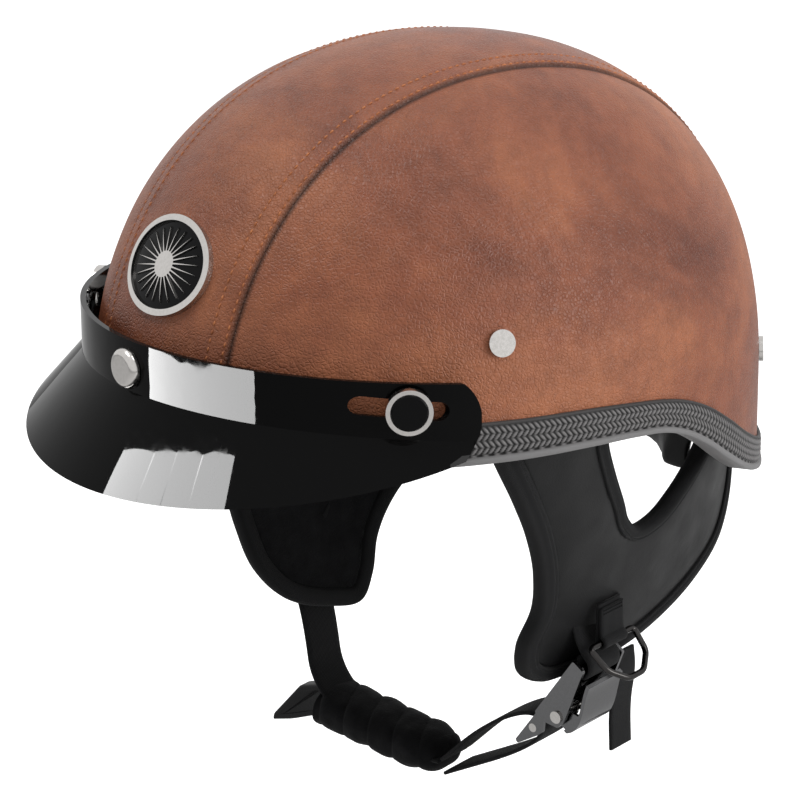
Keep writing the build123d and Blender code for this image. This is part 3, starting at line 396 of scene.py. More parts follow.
def makePlain(name, colour, roughness, grain, depth):
    made = Finish(name, colour, roughness, Specular_IOR_Level=0.35)
    beads = made.cells(grain)
    # painted shade in the edges between the beads, from the same cells as the bump
    made.colour(made.ramp(beads, ((0.0, tuple(c * 0.6 for c in colour)), (0.3, colour))))
    made.bump(beads, depth, 0.7)
    return made.material


seamThread = {"dark": (0.28, 0.085, 0.028), "light": (0.48, 0.17, 0.06), "fibres": 2200.0, "shades": 260.0}


def makeThread():
    look = seamThread
    made = Finish("seamThread", look["dark"], 0.6, Specular_IOR_Level=0.4)
    made.bump(made.noise(look["fibres"]), 0.00008, 0.7)
    made.colour(made.ramp(made.noise(look["shades"]), ((0.3, look["dark"]), (0.7, look["light"]))))
    return made.material


finishes = {
    "leather": makeBrownLeather(),
    "thread": makeThread(),
    "blackLeather": makeBlackLeather(),
    "plush": makePlush("plushLining", (0.006, 0.006, 0.0065), 0.0005),
    "lining": makePlush("paddedLining", (0.014, 0.014, 0.015), 0.0003),
    "sleeve": makePlush("sleeveKnit", (0.0065, 0.0065, 0.007), 0.00025),
    "webbing": makeWebbing("strapWeave", (0.008, 0.008, 0.0085), 4.0, 6.0),
    "binding": makeWebbing("bindingRib", (0.009, 0.009, 0.0095), 1.0, 12.0),
    "rubber": makeRubber("trimRubber", (0.12, 0.116, 0.116), 0.5),
    "lip": makeRubber("trimLip", (0.12, 0.118, 0.118), 0.6),
    "gloss": makeGloss("visorGloss", (0.002, 0.002, 0.0021)),
    "capBlack": makeGloss("capBlack", (0.004, 0.004, 0.0042)),
    "nickel": makeMetal("nickelBright", (0.56, 0.54, 0.52), 0.17),
    "gunmetal": makeMetal("gunmetalDark", (0.15, 0.15, 0.153), 0.16),
    "ringBlack": makeMetal("ringBlack", (0.045, 0.043, 0.042), 0.2),
    "enamel": makeGloss("badgeEnamel", (0.006, 0.006, 0.0065)),
    "shell": makePlain("shellPlastic", (0.02, 0.02, 0.02), 0.45, 700.0, 0.00005),
    "foam": makePlain("linerFoam", (0.035, 0.035, 0.036), 0.8, 330.0, 0.0005),
}
print("finishes made")


def dress(name, finish):
    # a CAD node that keeps its shape and takes a better finish
    made = finishes[finish]
    slots = nodes[name].data.materials
    if not slots:
        slots.append(made)
    for i in range(len(slots)):
        slots[i] = made
    for polygon in nodes[name].data.polygons:
        polygon.material_index = 0


dressed = {
    "shell": ("shell",), "foam": ("foam_liner",), "gloss": ("visor",), "enamel": ("badge_plate",),
    "capBlack": ("side_caps",), "gunmetal": ("buckle_frame", "latch", "buckle_lever"),
    "nickel": (
        "front_snap_cap", "front_snap_socket", "front_snap_stud", "side_posts", "side_rings", "strap_rivets",
        "rivet_washers", "badge_frame", "badge_rays", "buckle_pin", "latch_bar", "lever_spring",
    ),
}
for finish, names in dressed.items():
    for name in names:
        dress(name, finish)


# leather cover: three panels with a hemmed, twice stitched centre panel lying over the sides
leatherCover = {
    "seam": 38.4, "rows": 430, "centreColumns": 130, "sideRows": 170, "edgeLift": 5.0,
    "stitchRows": (2.2, 8.2), "dimple": 0.32, "dimpleWidth": 0.5,
    "hemWidth": 9.4, "hemRise": 0.3, "hemFade": 0.5, "seamDepth": 1.3, "seamWidth": 0.75,
    "sideDrop": 0.8, "sideFade": 4.0, "ripple": 0.14, "rippleScale": 0.045, "shadeReach": 20,
    "stitch": 2.4, "stitchGap": 0.8, "thread": 0.42, "stitchLift": 14.0, "stitchSteps": 700,
}


def coverOffset(points):
    look = leatherCover
    gap = look["seam"] - np.abs(points[..., 0])
    flat = points.reshape(-1, 3)
    ripple = np.array([noise.noise(Vector(p) * look["rippleScale"]) for p in flat]).reshape(gap.shape)
    lift = look["hemRise"] / (1 + np.exp((gap - look["hemWidth"]) / look["hemFade"]))
    lift = lift - look["seamDepth"] * np.exp(-((gap / look["seamWidth"]) ** 2))
    for row in look["stitchRows"]:
        lift = lift - look["dimple"] * np.exp(-(((gap - row) / look["dimpleWidth"]) ** 2))
    under = -look["sideDrop"] * np.exp(np.minimum(gap, 0) / look["sideFade"])
    return np.where(gap >= 0, lift, under) + ripple * look["ripple"]


def coverPanel(name, grid, node):
    look = leatherCover
    # the distance from the seam goes into the flat coordinates, where the leather finish paints shade along
    # the hems
    fromSeam = np.clip(np.abs(look["seam"] - np.abs(grid[..., 0])) / look["shadeReach"], 0, 1)
    grid = grid + domeNormals(grid) * coverOffset(grid)[..., None]
    piece = gridMesh(name, grid, finishes["leather"], uv=np.stack([fromSeam, fromSeam], -1))
    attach(piece, "root")
    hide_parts(node)


def sideGrid(side):
    # rows run from the seam over the side to the rim, one for each place along the seam
    look = leatherCover
    seam = look["seam"] + 0.05  # just clear of the centre panel
    b, a, h, p = dome["halfWidth"], dome["halfLength"], dome["height"], dome["power"]
    reach = a * math.sqrt(1 - (seam / b) ** 2)
    rows = []
    for y in np.linspace(-reach, reach, look["rows"]):
        turn = math.atan2(y / a, seam / b)
        start = math.hypot(y / a, seam / b)
        radius = start + (1 - start) * np.sin(np.linspace(0, math.pi / 2, 300))
        z = h * np.clip(1 - radius**p, 0, 1) ** (1 / p)
        line = np.stack([b * radius * math.cos(turn), a * radius * math.sin(turn), z], 1)
        skirt = np.linspace(-0.3, -40, 60)
        foot = np.stack([np.full(60, line[-1][0]), np.full(60, line[-1][1]), skirt], 1)
        line = np.vstack([line, foot])
        above = line[:, 2] - rimHeight(line[:, 1], "bottom") - look["edgeLift"]
        last = max(int(np.argmax(above < 0)), 1)
        share = above[last - 1] / (above[last - 1] - above[last]) if above[0] > 0 else 0.0
        end = line[last - 1] + (line[last] - line[last - 1]) * share
        rows.append(evenly(np.vstack([line[:last], end]), look["sideRows"]))
    grid = np.array(rows)
    if side < 0:
        grid = grid[:, ::-1] * (-1, 1, 1)
    return grid


def makeLeatherCover():
    look = leatherCover
    lines = []
    for turn in np.linspace(1, -1, look["centreColumns"]):
        x = look["seam"] * math.sin(turn * math.pi / 2)
        lines.append(evenly(sectionLine(x, look["edgeLift"]), look["rows"]))
    coverPanel("leatherCentre", np.array(lines), "leather_centre")
    coverPanel("leatherLeft", sideGrid(1), "leather_left")
    coverPanel("leatherRight", sideGrid(-1), "leather_right")


stitchShape = {"rings": 6, "sides": 6}


def stitchForm(length, radius):
    # one stitch: a short bowed capsule along X, dipping into the leather at its ends
    look = stitchShape
    points = []
    for i in range(look["rings"]):
        share = i / (look["rings"] - 1)
        thick = radius * max(math.sin(math.pi * (0.12 + 0.76 * share)), 0.2)
        for j in range(look["sides"]):
            turn = 2 * math.pi * j / look["sides"]
            bow = radius * 0.9 * (math.sin(math.pi * share) - 0.6)
            points.append(((share - 0.5) * length, thick * math.cos(turn), thick * math.sin(turn) + bow))
    return np.array(points)


def stitchRun(name, lines, outs, length, gap, radius, material):
    # stitches laid along lines, each with the outward direction at its points
    form = stitchForm(length, radius)
    points, faces = [], []
    rings, sides = stitchShape["rings"], stitchShape["sides"]
    for line, out in zip(lines, outs):
        total = lineLength(line)
        count = int(total // (length + gap))
        steps = lineSteps(line)
        for i in range(count):
            at = (i + 0.5) * total / count
            centre = pointsAt(at, steps, line)
            tangent = unitRows(pointsAt(at + 0.6, steps, line) - pointsAt(at - 0.6, steps, line))
            up = pointsAt(at, steps, out)
            up = unitRows(up - tangent * up.dot(tangent))
            side = np.cross(up, tangent)
            start = len(points) * rings * sides
            points.append(centre + form[:, :1] * tangent + form[:, 1:2] * side + form[:, 2:] * up)
            faces += gridFaces(rings, sides, closeColumns=True, start=start)
            faces.append(tuple(range(start, start + sides))[::-1])
            faces.append(tuple(range(start + (rings - 1) * sides, start + rings * sides)))
    piece = newMesh(name, np.concatenate(points), faces, material)
    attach(piece, "root")
    return piece


def makeSeamStitches():
    look = leatherCover
    lines, outs = [], []
    for side in (1, -1):
        for row in look["stitchRows"]:
            whole = sectionLine(side * (look["seam"] - row), look["stitchLift"])
            lines.append(evenly(whole, look["stitchSteps"]))
            outs.append(domeNormals(lines[-1]))
    sizes = (look["stitch"], look["stitchGap"], look["thread"])
    piece = stitchRun("seamStitches", lines, outs, *sizes, finishes["thread"])


makeLeatherCover()
makeSeamStitches()
print("leather cover made")


# edge trim: a rubber U with a bead, a herringbone field, a groove and a plain lip
trimLook = {
    "columns": 3000, "field": 9.2, "fieldRows": 4, "rowSteps": 4, "pitch": 2.2, "relief": 0.8,
    "slant": 0.9, "sharpness": 0.7, "rowShare": 0.98, "strokeEnds": 0.35,
    "dash": 0.35, "dashBase": 0.85, "dashRelief": 0.3, "dashInset": 0.2,
    "base": 1.15, "inner": 6.9, "shellWall": 4.5, "lipHeight": 2.0, "bandHeight": 14.0, "groove": 0.9,
    "beadSection": ((0.0, -0.1), (0.02, 0.9), (0.25, 1.45), (0.65, 1.7), (1.0, 1.5), (1.2, 1.1)),
    "fieldGap": 0.2,
    "lipSection": ((0.0, 1.3), (0.1, 2.0), (0.3, 2.3), (0.7, 2.3), (0.9, 2.1), (1.0, 1.5)),
}


def rimColumns(count):
    # even columns round the rim: their turns, how far round each one lies, and the whole way round
    turn = np.linspace(0, 2 * math.pi, 7201)
    plan = np.stack([dome["halfWidth"] * np.cos(turn), dome["halfLength"] * np.sin(turn)], 1)
    steps = lineSteps(plan)
    along = np.linspace(0, steps[-1], count, endpoint=False)
    turn = np.interp(along, steps, turn)
    return turn, along, steps[-1]


def domePoint(turn, z, offset):
    # places round the dome at heights z, moved outward by an offset
    share = domeShare(z)
    x = dome["halfWidth"] * share * np.cos(turn)
    y = dome["halfLength"] * share * np.sin(turn)
    points = np.stack([x, y, z], -1)
    return points + domeNormals(points) * np.asarray(offset)[..., None]


def makeEdgeTrim():
    look = trimLook
    turn, along, total = rimColumns(look["columns"])
    repeats = 2 * round(total / look["pitch"] / 2)
    y = dome["halfLength"] * np.sin(turn)
    top, bottom = rimHeight(y, "top"), rimHeight(y, "bottom")
    unit = (top - bottom) / look["bandHeight"]
    whole = np.ones_like(turn)
    lines = [(down * unit, offset * whole, 0.3 * whole) for down, offset in look["beadSection"]]
    fieldStart = look["beadSection"][-1][0] + look["fieldGap"]
    rowHeight = look["field"] / look["fieldRows"]
    for row in range(look["fieldRows"]):
        slant = 1 if row % 2 else -1
        for step in range(look["rowSteps"] + 1):
            share = step / look["rowSteps"]
            phase = along / total * repeats + slant * (share - 0.5) * look["slant"]
            stroke = (0.5 + 0.5 * np.cos(2 * math.pi * phase)) ** look["sharpness"]
            rise = math.sin(math.pi * min(max(share, 0.08), 0.92))
            stroke = stroke * (look["strokeEnds"] + (1 - look["strokeEnds"]) * rise)
            down = fieldStart + (row + share * look["rowShare"]) * rowHeight
            lines.append((down * unit, look["base"] + look["relief"] * stroke, stroke))
    end = fieldStart + look["field"]
    for down in (look["dashInset"], look["groove"] - look["dashInset"]):
        dashes = look["dash"] * (1 + np.cos(math.pi * along / total * repeats))
        lines.append(((end + down) * unit, look["dashBase"] + look["dashRelief"] * dashes, dashes))
    # how high each row stands, kept in the flat coordinates for the rubber's painted shade in the grooves
    # and painted highlight on what is raised
    raised = [line[2] for line in lines]
    grid = [domePoint(turn, top - down, offset) for down, offset, _ in lines]
    lipTop = top - (end + look["groove"]) * unit
    for share, offset in look["lipSection"]:
        grid.append(domePoint(turn, lipTop + (bottom - lipTop) * share, np.full_like(turn, offset)))
    inner, wall, ledge = look["inner"], look["shellWall"], bottom + look["lipHeight"]
    for height, offset in (
        (bottom, 1.0 - inner), (bottom + 0.6, -inner), (top - 0.6, -inner), (top - 0.1, 0.6 - inner),
        (top - 0.1, -wall), (ledge, -wall), (ledge, -0.05),
    ):
        grid.append(domePoint(turn, height, np.full_like(turn, offset)))
    raised += [0.8 * whole] * (len(grid) - len(raised))
    flat = np.stack([raised, raised], -1)
    piece = gridMesh("edgeTrimRubber", np.array(grid), finishes["rubber"], True, True, uv=flat)
    piece.data.materials.append(finishes["lip"])
    lipRows = range(len(lines), len(lines) + len(look["lipSection"]) - 1)
    for i, polygon in enumerate(piece.data.polygons):
        if i // look["columns"] in lipRows:
            polygon.material_index = 1
    outward(piece)
    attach(piece, "root")
    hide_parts("edge_trim")


makeEdgeTrim()
print("edge trim made")

# ear flaps: shares of the half length and of the drop below the dome's widest level
flapLook = {
    "drop": 115.0, "thickness": 6.0, "inset": 9.2, "lean": 0.352, "leanFrom": 12.0, "bindingWidth": 5.5,
    "levelShares": (-1.09, -0.52, -0.31, -0.17, 0.1, 0.26),
    "lengthShares": (1.26, 1.079, 1.007, 0.978, 0.957, 0.945),
    "nearEdge": (
        (-0.41, 0.24), (-0.33, 0.053), (-0.24, -0.12), (-0.163, -0.276), (-0.097, -0.45),
        (-0.067, -0.6), (-0.085, -0.74), (-0.055, -0.85), (0.02, -0.905), (0.11, -0.912), (0.22, -0.905),
        (0.34, -0.88), (0.48, -0.82), (0.63, -0.725), (0.745, -0.615), (0.805, -0.45), (0.83, -0.2),
    ),
    "farEdge": (
        (-0.45, 0.24), (-0.43, 0.05), (-0.365, -0.2), (-0.33, -0.42), (-0.315, -0.6),
        (-0.28, -0.76), (-0.2, -0.875), (-0.06, -0.945), (0.07, -0.955), (0.12, -0.88),
        (0.165, -0.76), (0.27, -0.62), (0.45, -0.5), (0.63, -0.42), (0.74, -0.3), (0.77, -0.18),
    ),
    "window": (
        (0.61, 0.0), (0.56, -0.1), (0.495, -0.2), (0.41, -0.298), (0.335, -0.358), (0.25, -0.37),
        (0.185, -0.31), (0.14, -0.225), (0.066, -0.09), (0.003, 0.04), (-0.05, 0.2),
    ),
    "gridStep": 2.2, "pillow": 1.3, "pillowFade": 5.0, "sunk": 0.5, "wrinkle": 0.4, "fold": 0.3,
    "tuck": 1.2, "topGap": 1.0, "lid": 36.0, "lidSteps": 14,
}


# section of the binding: distance in from the flap's edge and depth below its face
bindingLook = {
    "section": (
        (5.6, 0.6), (5.5, -0.5), (5.1, -1.0), (4.6, -1.05), (4.2, -0.7), (3.8, -1.15), (3.2, -1.4),
        (2.0, -1.35), (0.6, -0.9), (-0.35, 0.4), (-0.8, 1.8), (-0.9, 3.0), (-0.8, 4.2), (-0.35, 5.6),
        (0.6, 6.9), (2.0, 7.35), (3.6, 7.4), (4.9, 7.15), (5.5, 6.5), (5.6, 5.4),
    ),
    "step": 1.3, "edgeWidth": 1.2, "windowWidth": 0.95,
}


def throughPoints(points, step):
    # a smooth curve through given points, at even steps
    points = np.asarray(points, float)
    at = lineSteps(points)
    fine = np.linspace(0, at[-1], 1200)
    line = np.stack([smoothLine(at, points[:, k], fine) for k in range(points.shape[1])], 1)
    return evenly(line, max(int(lineLength(line) / step), 8))


def flapPoints(flat, depth, side):
    # points of the flap from side view (y, z) and a depth below its face
    look = flapLook
    y, z = flat[..., 0], flat[..., 1]
    width = dome["halfWidth"] - look["inset"] + look["lean"] * np.minimum(z - look["leanFrom"], 0) - depth
    share = np.interp(z / look["drop"], look["levelShares"], look["lengthShares"])
    length = dome["halfLength"] * share - depth
    x = width * np.sqrt(np.clip(1 - (y / length) ** 2, 0.02, 1))
    return np.stack([side * x, y, z], -1)


def scaledOutline(name):
    size = np.array((dome["halfLength"], flapLook["drop"]))
    return np.array(flapLook[name]) * size


def drawnIn(line, distance):
    # the outline moved in by a distance, which is on its left
    return line + distance * leftOf(openAhead(line))


def straightRun(start, end):
    # the points between two corners of the hidden top
    steps = flapLook["lidSteps"]
    return np.stack([np.linspace(start[0], end[0], steps), np.linspace(start[1], end[1], steps)], 1)[1:-1]


def makeFlap(name, edgeName, side, node):
    # a flat outline cut into even triangles, bent to the dome and puffed away from its bound edges
    look = flapLook
    lines = []
    for lineName, widen in ((edgeName, "edgeWidth"), ("window", "windowWidth")):
        line = throughPoints(scaledOutline(lineName), look["gridStep"])
        lines.append(drawnIn(line, look["bindingWidth"] * bindingLook[widen] - look["tuck"]))
    edge, window = lines
    lid = look["lid"]  # the top runs up behind the shell, and is cut at the trim below
    corners = [(edge[-1][0], lid), (window[0][0], lid), (window[-1][0], lid), (edge[0][0], lid)]
    outline = np.vstack([
        edge, straightRun(edge[-1], corners[0]), corners[:2], straightRun(corners[1], window[0]),
        window, straightRun(window[-1], corners[2]), corners[2:], straightRun(corners[3], edge[0]),
    ])
    bound = np.vstack([edge, window])
    low, high = outline.min(0), outline.max(0)
    step = look["gridStep"]
    # staggered rows of points inside the outline
    ys = np.arange(low[0] + step / 2, high[0], step)
    zs = np.arange(low[1] + step / 2, high[1], step * 0.87)
    grid = np.array([(y + (step / 2 if j % 2 else 0), z) for j, z in enumerate(zs) for y in ys])
    gapToBound = np.min(np.linalg.norm(grid[:, None] - outline[None], axis=2), axis=1)
    grid = grid[gapToBound > step * 0.55]
    allPoints = [Vector(p) for p in np.vstack([outline, grid])]
    made = delaunay_2d_cdt(allPoints, [], [list(range(len(outline)))], 1, 1e-4)
    flat = np.array([tuple(p) for p in made[0]])
    triangles = [tuple(f) for f in made[2]]
    flat[:, 1] = np.minimum(flat[:, 1], rimHeight(flat[:, 0], "top") - look["topGap"])
    toBound = np.min(np.linalg.norm(flat[:, None] - bound[None], axis=2), axis=1)
    wrinkle = np.array([noise.noise(Vector((y * 0.03, z * 0.03, side))) for y, z in flat])
    fold = np.array([noise.noise(Vector((y * 0.09 + 7, z * 0.035, side))) for y, z in flat])
    puffed = look["pillow"] + look["wrinkle"] * wrinkle + look["fold"] * fold
    swell = -look["sunk"] + puffed * (1 - np.exp(-toBound / look["pillowFade"]))
    outer = flapPoints(flat, -swell, side)
    inner = flapPoints(flat, look["thickness"] + 0.7 * swell, side)
    total = len(flat)
    edges = dict.fromkeys(pair for a, b, c in triangles for pair in ((a, b), (b, c), (c, a)))
    rim = [pair for pair in edges if pair[::-1] not in edges]
    faces = triangles + [(c + total, b + total, a + total) for a, b, c in triangles]
    faces += [(b, a, a + total, b + total) for a, b in rim]
    piece = newMesh(name, np.vstack([outer, inner]), faces, finishes["blackLeather"])
    piece.data.materials.append(finishes["plush"])
    for i, polygon in enumerate(piece.data.polygons):
        if len(triangles) <= i < 2 * len(triangles):
            polygon.material_index = 1
    outward(piece)
    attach(piece, "root")
    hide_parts(node)
    return piece


def makeBinding(name, edgeName, side, node):
    # the binding's section swept along the flap's edge and round its window
    look = bindingLook
    points, faces, flatUv = [], [], []
    for lineName in (edgeName, "window"):
        line = throughPoints(scaledOutline(lineName), look["step"])
        line = line[line[:, 1] <= rimHeight(line[:, 0], "top") - flapLook["topGap"]]
        start = sum(len(p) for p in points)
        rings = []
        widen = look["windowWidth" if lineName == "window" else "edgeWidth"]
        for inset, depth in look["section"]:
            rings.append(flapPoints(drawnIn(line, inset * widen if inset > 1 else inset), depth, side))
        rings = np.array(rings).transpose(1, 0, 2)
        count, around = rings.shape[:2]
        points.append(rings.reshape(-1, 3))
        faces += gridFaces(count, around, closeColumns=True, start=start)
        faces.append(tuple(range(start, start + around)))
        faces.append(tuple(range(start + (count - 1) * around, start + count * around))[::-1])
        flatUv += [(j / around, i * look["step"] / 10) for i in range(count) for j in range(around)]
    piece = newMesh(name, np.vstack(points), faces, finishes["binding"])
    layFlat(piece, flatUv)
    outward(piece)
    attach(piece, "root")
    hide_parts(node)


makeFlap("earFlapNear", "nearEdge", 1, "ear_flap_left")
makeFlap("earFlapFar", "farEdge", -1, "ear_flap_right")
makeBinding("flapBindingNear", "nearEdge", 1, "flap_binding_left")
makeBinding("flapBindingFar", "farEdge", -1, "flap_binding_right")
print("ear flaps made")

# straps: flat webbing in the upright plane of the chin strap, millimetres
strapLook = {
    "turn": math.radians(11.8), "shift": 4.6, "height": 160.0, "width": 20.0, "thickness": 1.5,
    "far": ((-0.455, -0.6), (-0.41, -0.69), (-0.372, -0.94), (-0.02, -0.99), (0.04, -0.985)),
    "loop": (
        (0.05, -0.975), (0.185, -0.84), (0.327, -0.756), (0.387, -0.784), (0.325, -0.865), (0.06, -1.01),
    ),
    "pinAlong": 69.0, "pinHeight": -118.0, "unit": 20.0,
    "buckle": (
        (0.16, 2.1), (0.26, 1.72), (0.4, 1.42), (0.62, 1.2), (0.62, 1.0), (0.48, 0.84), (0.35, 1.0),
        (0.355, 1.3),
    ),
    "tail": ((0.3, 0.92), (0.36, 0.45), (0.24, -0.3), (0.28, -1.15)),
    "tailWidth": 14.0, "tailAcross": 21.5, "selvedge": 0.5, "turns": 4, "step": 0.8,
}
across = np.array((-math.sin(strapLook["turn"]), math.cos(strapLook["turn"]), 0.0))
along = np.array((math.cos(strapLook["turn"]), math.sin(strapLook["turn"]), 0.0))
upright = np.array((0.0, 0.0, 1.0))


def chinPoints(flat, side=0.0):
    flat = np.atleast_2d(flat)
    origin = np.array((0.0, strapLook["shift"], 0.0)) + across * side
    return origin + flat[:, :1] * along + flat[:, 1:2] * upright


def rounded(points, turns, share=0.25):
    # corner cutting that keeps the two ends
    points = np.asarray(points, float)
    for _ in range(turns):
        cut = [points[0]]
        for a, b in zip(points, points[1:]):
            cut += [a + (b - a) * share, a + (b - a) * (1 - share)]
        cut.append(points[-1])
        points = np.array(cut)
    return points


def strapSection(width, thickness):
    # flat section with softly rounded selvedges: across, out and the flat coordinate
    half, thick = width / 2, thickness / 2
    points = []
    for face in (1, -1):
        for share in np.linspace(-face, face, 9):
            out = face * thick * (1.0 - 0.05 * share**4)
            points.append((share * (half - strapLook["selvedge"]), out, 0.5 + share / 2))
        points.append((face * half, 0.0, 0.5 + face / 2))
    return np.array(points)


def makeStrap(name, line, outs, width, thickness, node):
    section = strapSection(width, thickness)
    ahead = openAhead(line)
    outs = unitRows(outs - ahead * np.sum(outs * ahead, axis=1, keepdims=True))
    sides = np.cross(ahead, outs)
    grid = line[:, None] + section[None, :, :1] * sides[:, None] + section[None, :, 1:2] * outs[:, None]
    uv = np.stack(np.broadcast_arrays(section[None, :, 2] * width / 10, lineSteps(line)[:, None] / 10), -1)
    piece = gridMesh(name, grid, finishes["webbing"], closeColumns=True, uv=uv, caps=True)
    outward(piece)
    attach(piece, "root")
    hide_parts(node)


def planeOuts(line):
    # the outward direction of a strap that lies in the chin strap's plane
    left = leftOf(unitRows(np.gradient(line, axis=0)))
    return left[:, :1] * along + left[:, 1:] * upright


def strapInPlane(name, flat, node, width=strapLook["width"], side=0.0):
    look = strapLook
    line = rounded(flat, look["turns"])
    line = evenly(line, int(lineLength(line) / look["step"]))
    makeStrap(name, chinPoints(line, side), planeOuts(line), width, look["thickness"], node)


def buckleRoute(shares):
    # a route given from the buckle's pin, in webbing widths
    look = strapLook
    pin = np.array((look["pinAlong"], look["pinHeight"]))
    return pin + look["unit"] * np.array(shares)


def makeChinStraps():
    look = strapLook
    strapInPlane("chinWebbing", np.array(look["far"]) * look["height"], "chin_webbing")
    strapInPlane("chinLoop", np.array(look["loop"]) * look["height"], "chin_loop")
    strapInPlane("buckleWebbing", buckleRoute(look["buckle"]), "buckle_webbing")
    tail = buckleRoute(look["tail"])
    strapInPlane("webbingTail", tail, "webbing_tail", look["tailWidth"], look["tailAcross"])


makeChinStraps()

# inner webbing: four legs from the rivets, inside the shell and then inside the flaps
legLook = {
    "upperFront": ((-0.372, 0.44), (-0.363, 0.389), (-0.33, 0.29), (-0.3, 0.225)),
    "upperRear": ((0.785, 0.14), (0.78, 0.086), (0.765, -0.01), (0.745, -0.09)),
    "nearFront": ((-0.25, 0.12), (-0.16, -0.05), (-0.05, -0.3), (0.02, -0.5), (0.05, -0.6)),
    "nearRear": ((0.66, -0.36), (0.5, -0.5), (0.34, -0.57), (0.24, -0.6)),
    "farFront": ((-0.27, 0.12), (-0.2, -0.05), (-0.13, -0.3), (-0.09, -0.5), (-0.07, -0.72)),
    "farRear": ((0.6, -0.28), (0.4, -0.38), (0.17, -0.55), (0.03, -0.7)),
    "inset": 5.45, "passInset": 8.55, "frontDepth": 2.1, "rearDepth": 3.9, "step": 2.0,
}


def makeLeg(name, upper, lower, depth, side, node):
    look = legLook
    stations = []
    last = len(look[upper]) - 1
    for i, (y, z) in enumerate(look[upper]):
        inset = look["passInset"] if i == last else look["inset"]
        y, z = y * dome["halfLength"], z * dome["height"]
        share = float(domeShare(z, inset))
        lengthShare = y / (dome["halfLength"] - inset)
        x = (dome["halfWidth"] - inset) * math.sqrt(max(share**2 - lengthShare**2, 0))
        stations.append((side * x, y, z))
    for y, z in look[lower]:
        flat = np.array((y * dome["halfLength"], z * flapLook["drop"]))
        stations.append(tuple(flapPoints(flat, depth, side)))
    line = throughPoints(np.array(stations), look["step"])
    makeStrap(name, line, domeNormals(line), strapLook["width"], strapLook["thickness"], node)


makeLeg("legFrontNear", "upperFront", "nearFront", legLook["frontDepth"], 1, "webbing_front_left")
makeLeg("legRearNear", "upperRear", "nearRear", legLook["rearDepth"], 1, "webbing_rear_left")
makeLeg("legFrontFar", "upperFront", "farFront", legLook["frontDepth"], -1, "webbing_front_right")
makeLeg("legRearFar", "upperRear", "farRear", legLook["rearDepth"], -1, "webbing_rear_right")
print("straps made")

# ring keeper: webbing folded round the ring's bar and sewn to the flap
keeperLook = {
    "centre": (82.0, -87.0), "across": 4.0, "width": 15.0, "bore": 1.95, "rise": 15.7, "thickness": 1.4,
    "wrap": (180, 440), "steps": 70, "tackDrops": (2.4, 3.9), "tackInset": 1.2, "tackSteps": 40,
    "tack": (1.0, 0.15, 0.4),
}


def makeKeeper():
    # one strap down the flap, round the ring's bar and back up
    look = keeperLook
    centre = np.array(look["centre"])
    turns = np.linspace(*np.radians(look["wrap"]), 26)
    loop = centre + look["bore"] * np.stack([np.cos(turns), np.sin(turns)], 1)
    start = loop[0] + np.array((0.0, look["rise"]))
    end = np.array((loop[0][0] + look["thickness"] + 0.05, centre[1] + look["rise"] * 0.9))
    line = np.vstack([start, loop, [centre[0] - 0.2, centre[1] + 2.6], end])
    line = evenly(rounded(line, 2), look["steps"])
    points = chinPoints(line, look["across"])
    makeStrap("ringKeeper", points, planeOuts(line), look["width"], look["thickness"], "ring_keeper")


def makeBarTack():
    # two dense rows of stitches that hold the folded keeper to the flap
    look = keeperLook
    face = look["centre"][0] - look["bore"] + look["thickness"] * 1.5 + 0.1
    reach = look["width"] / 2 - look["tackInset"]
    steps = look["tackSteps"]
    lines, outs = [], []
    for drop in look["tackDrops"]:
        height = look["centre"][1] + look["rise"] - drop
        ends = [chinPoints((face, height), look["across"] + side * reach)[0] for side in (-1, 1)]
        lines.append(evenly(np.array(ends), steps))
        outs.append(np.tile(along, (steps, 1)))
    piece = stitchRun("keeperTack", lines, outs, *look["tack"], finishes["webbing"])


ringLook = {
    "half": 14.25, "drop": 17.0, "wire": 1.25, "corner": 2.5, "tilt": math.radians(45),
    "steps": 241, "sides": 24,
    "shares": ((1, 0), (0.9, 0.62), (0.35, 1), (-0.35, 1), (-0.9, 0.62), (-1, 0)),
}


def roundedLoop(corners, radius, turns=7):
    # closed outline with each corner replaced by a short curve
    points = []
    for i, corner in enumerate(corners):
        ends = []
        for other in (corners[i - 1], corners[(i + 1) % len(corners)]):
            away = other - corner
            ends.append(corner + away / np.linalg.norm(away) * radius)
        for t in np.linspace(0, 1, turns):
            points.append((1 - t) ** 2 * ends[0] + 2 * t * (1 - t) * corner + t * t * ends[1])
    return np.array(points + points[:1])


def makeRing():
    # round wire bent to a D, hung from its bar in the keeper
    look = ringLook
    corners = np.array(look["shares"]) * (look["half"], look["drop"])
    loop = evenly(roundedLoop(corners, look["corner"]), look["steps"])[:-1]
    down = math.sin(look["tilt"]) * along - math.cos(look["tilt"]) * upright
    left = leftOf(loopAhead(loop))
    turns = np.linspace(0, 2 * math.pi, look["sides"], endpoint=False)
    flat = loop[:, None] + look["wire"] * np.cos(turns)[None, :, None] * left[:, None]
    rise = look["wire"] * np.sin(turns)[None, :, None] * np.cross(across, down)
    centre = chinPoints(keeperLook["centre"], keeperLook["across"])[0]
    grid = centre + flat[..., :1] * across + flat[..., 1:] * down + rise
    piece = gridMesh("dRing", grid, finishes["ringBlack"], closeRows=True, closeColumns=True)
    outward(piece)
    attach(piece, "ring_body")
    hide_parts("d_ring")


makeKeeper()
makeBarTack()
makeRing()

# chin pad: a soft sleeve pinched into segments by slanted creases
padLook = {
    "start": -60.0, "end": 4.8, "startHeight": -151.8, "endHeight": -158.4, "width": 29.0, "height": 17.5,
    "segments": 5, "pinch": 1.4, "slant": 9.0, "wave": 0.55, "rows": 180, "columns": 72,
    "leftRound": 6.0, "rightRound": 15.0, "leftEnd": 0.12, "rightEnd": 0.4,
}


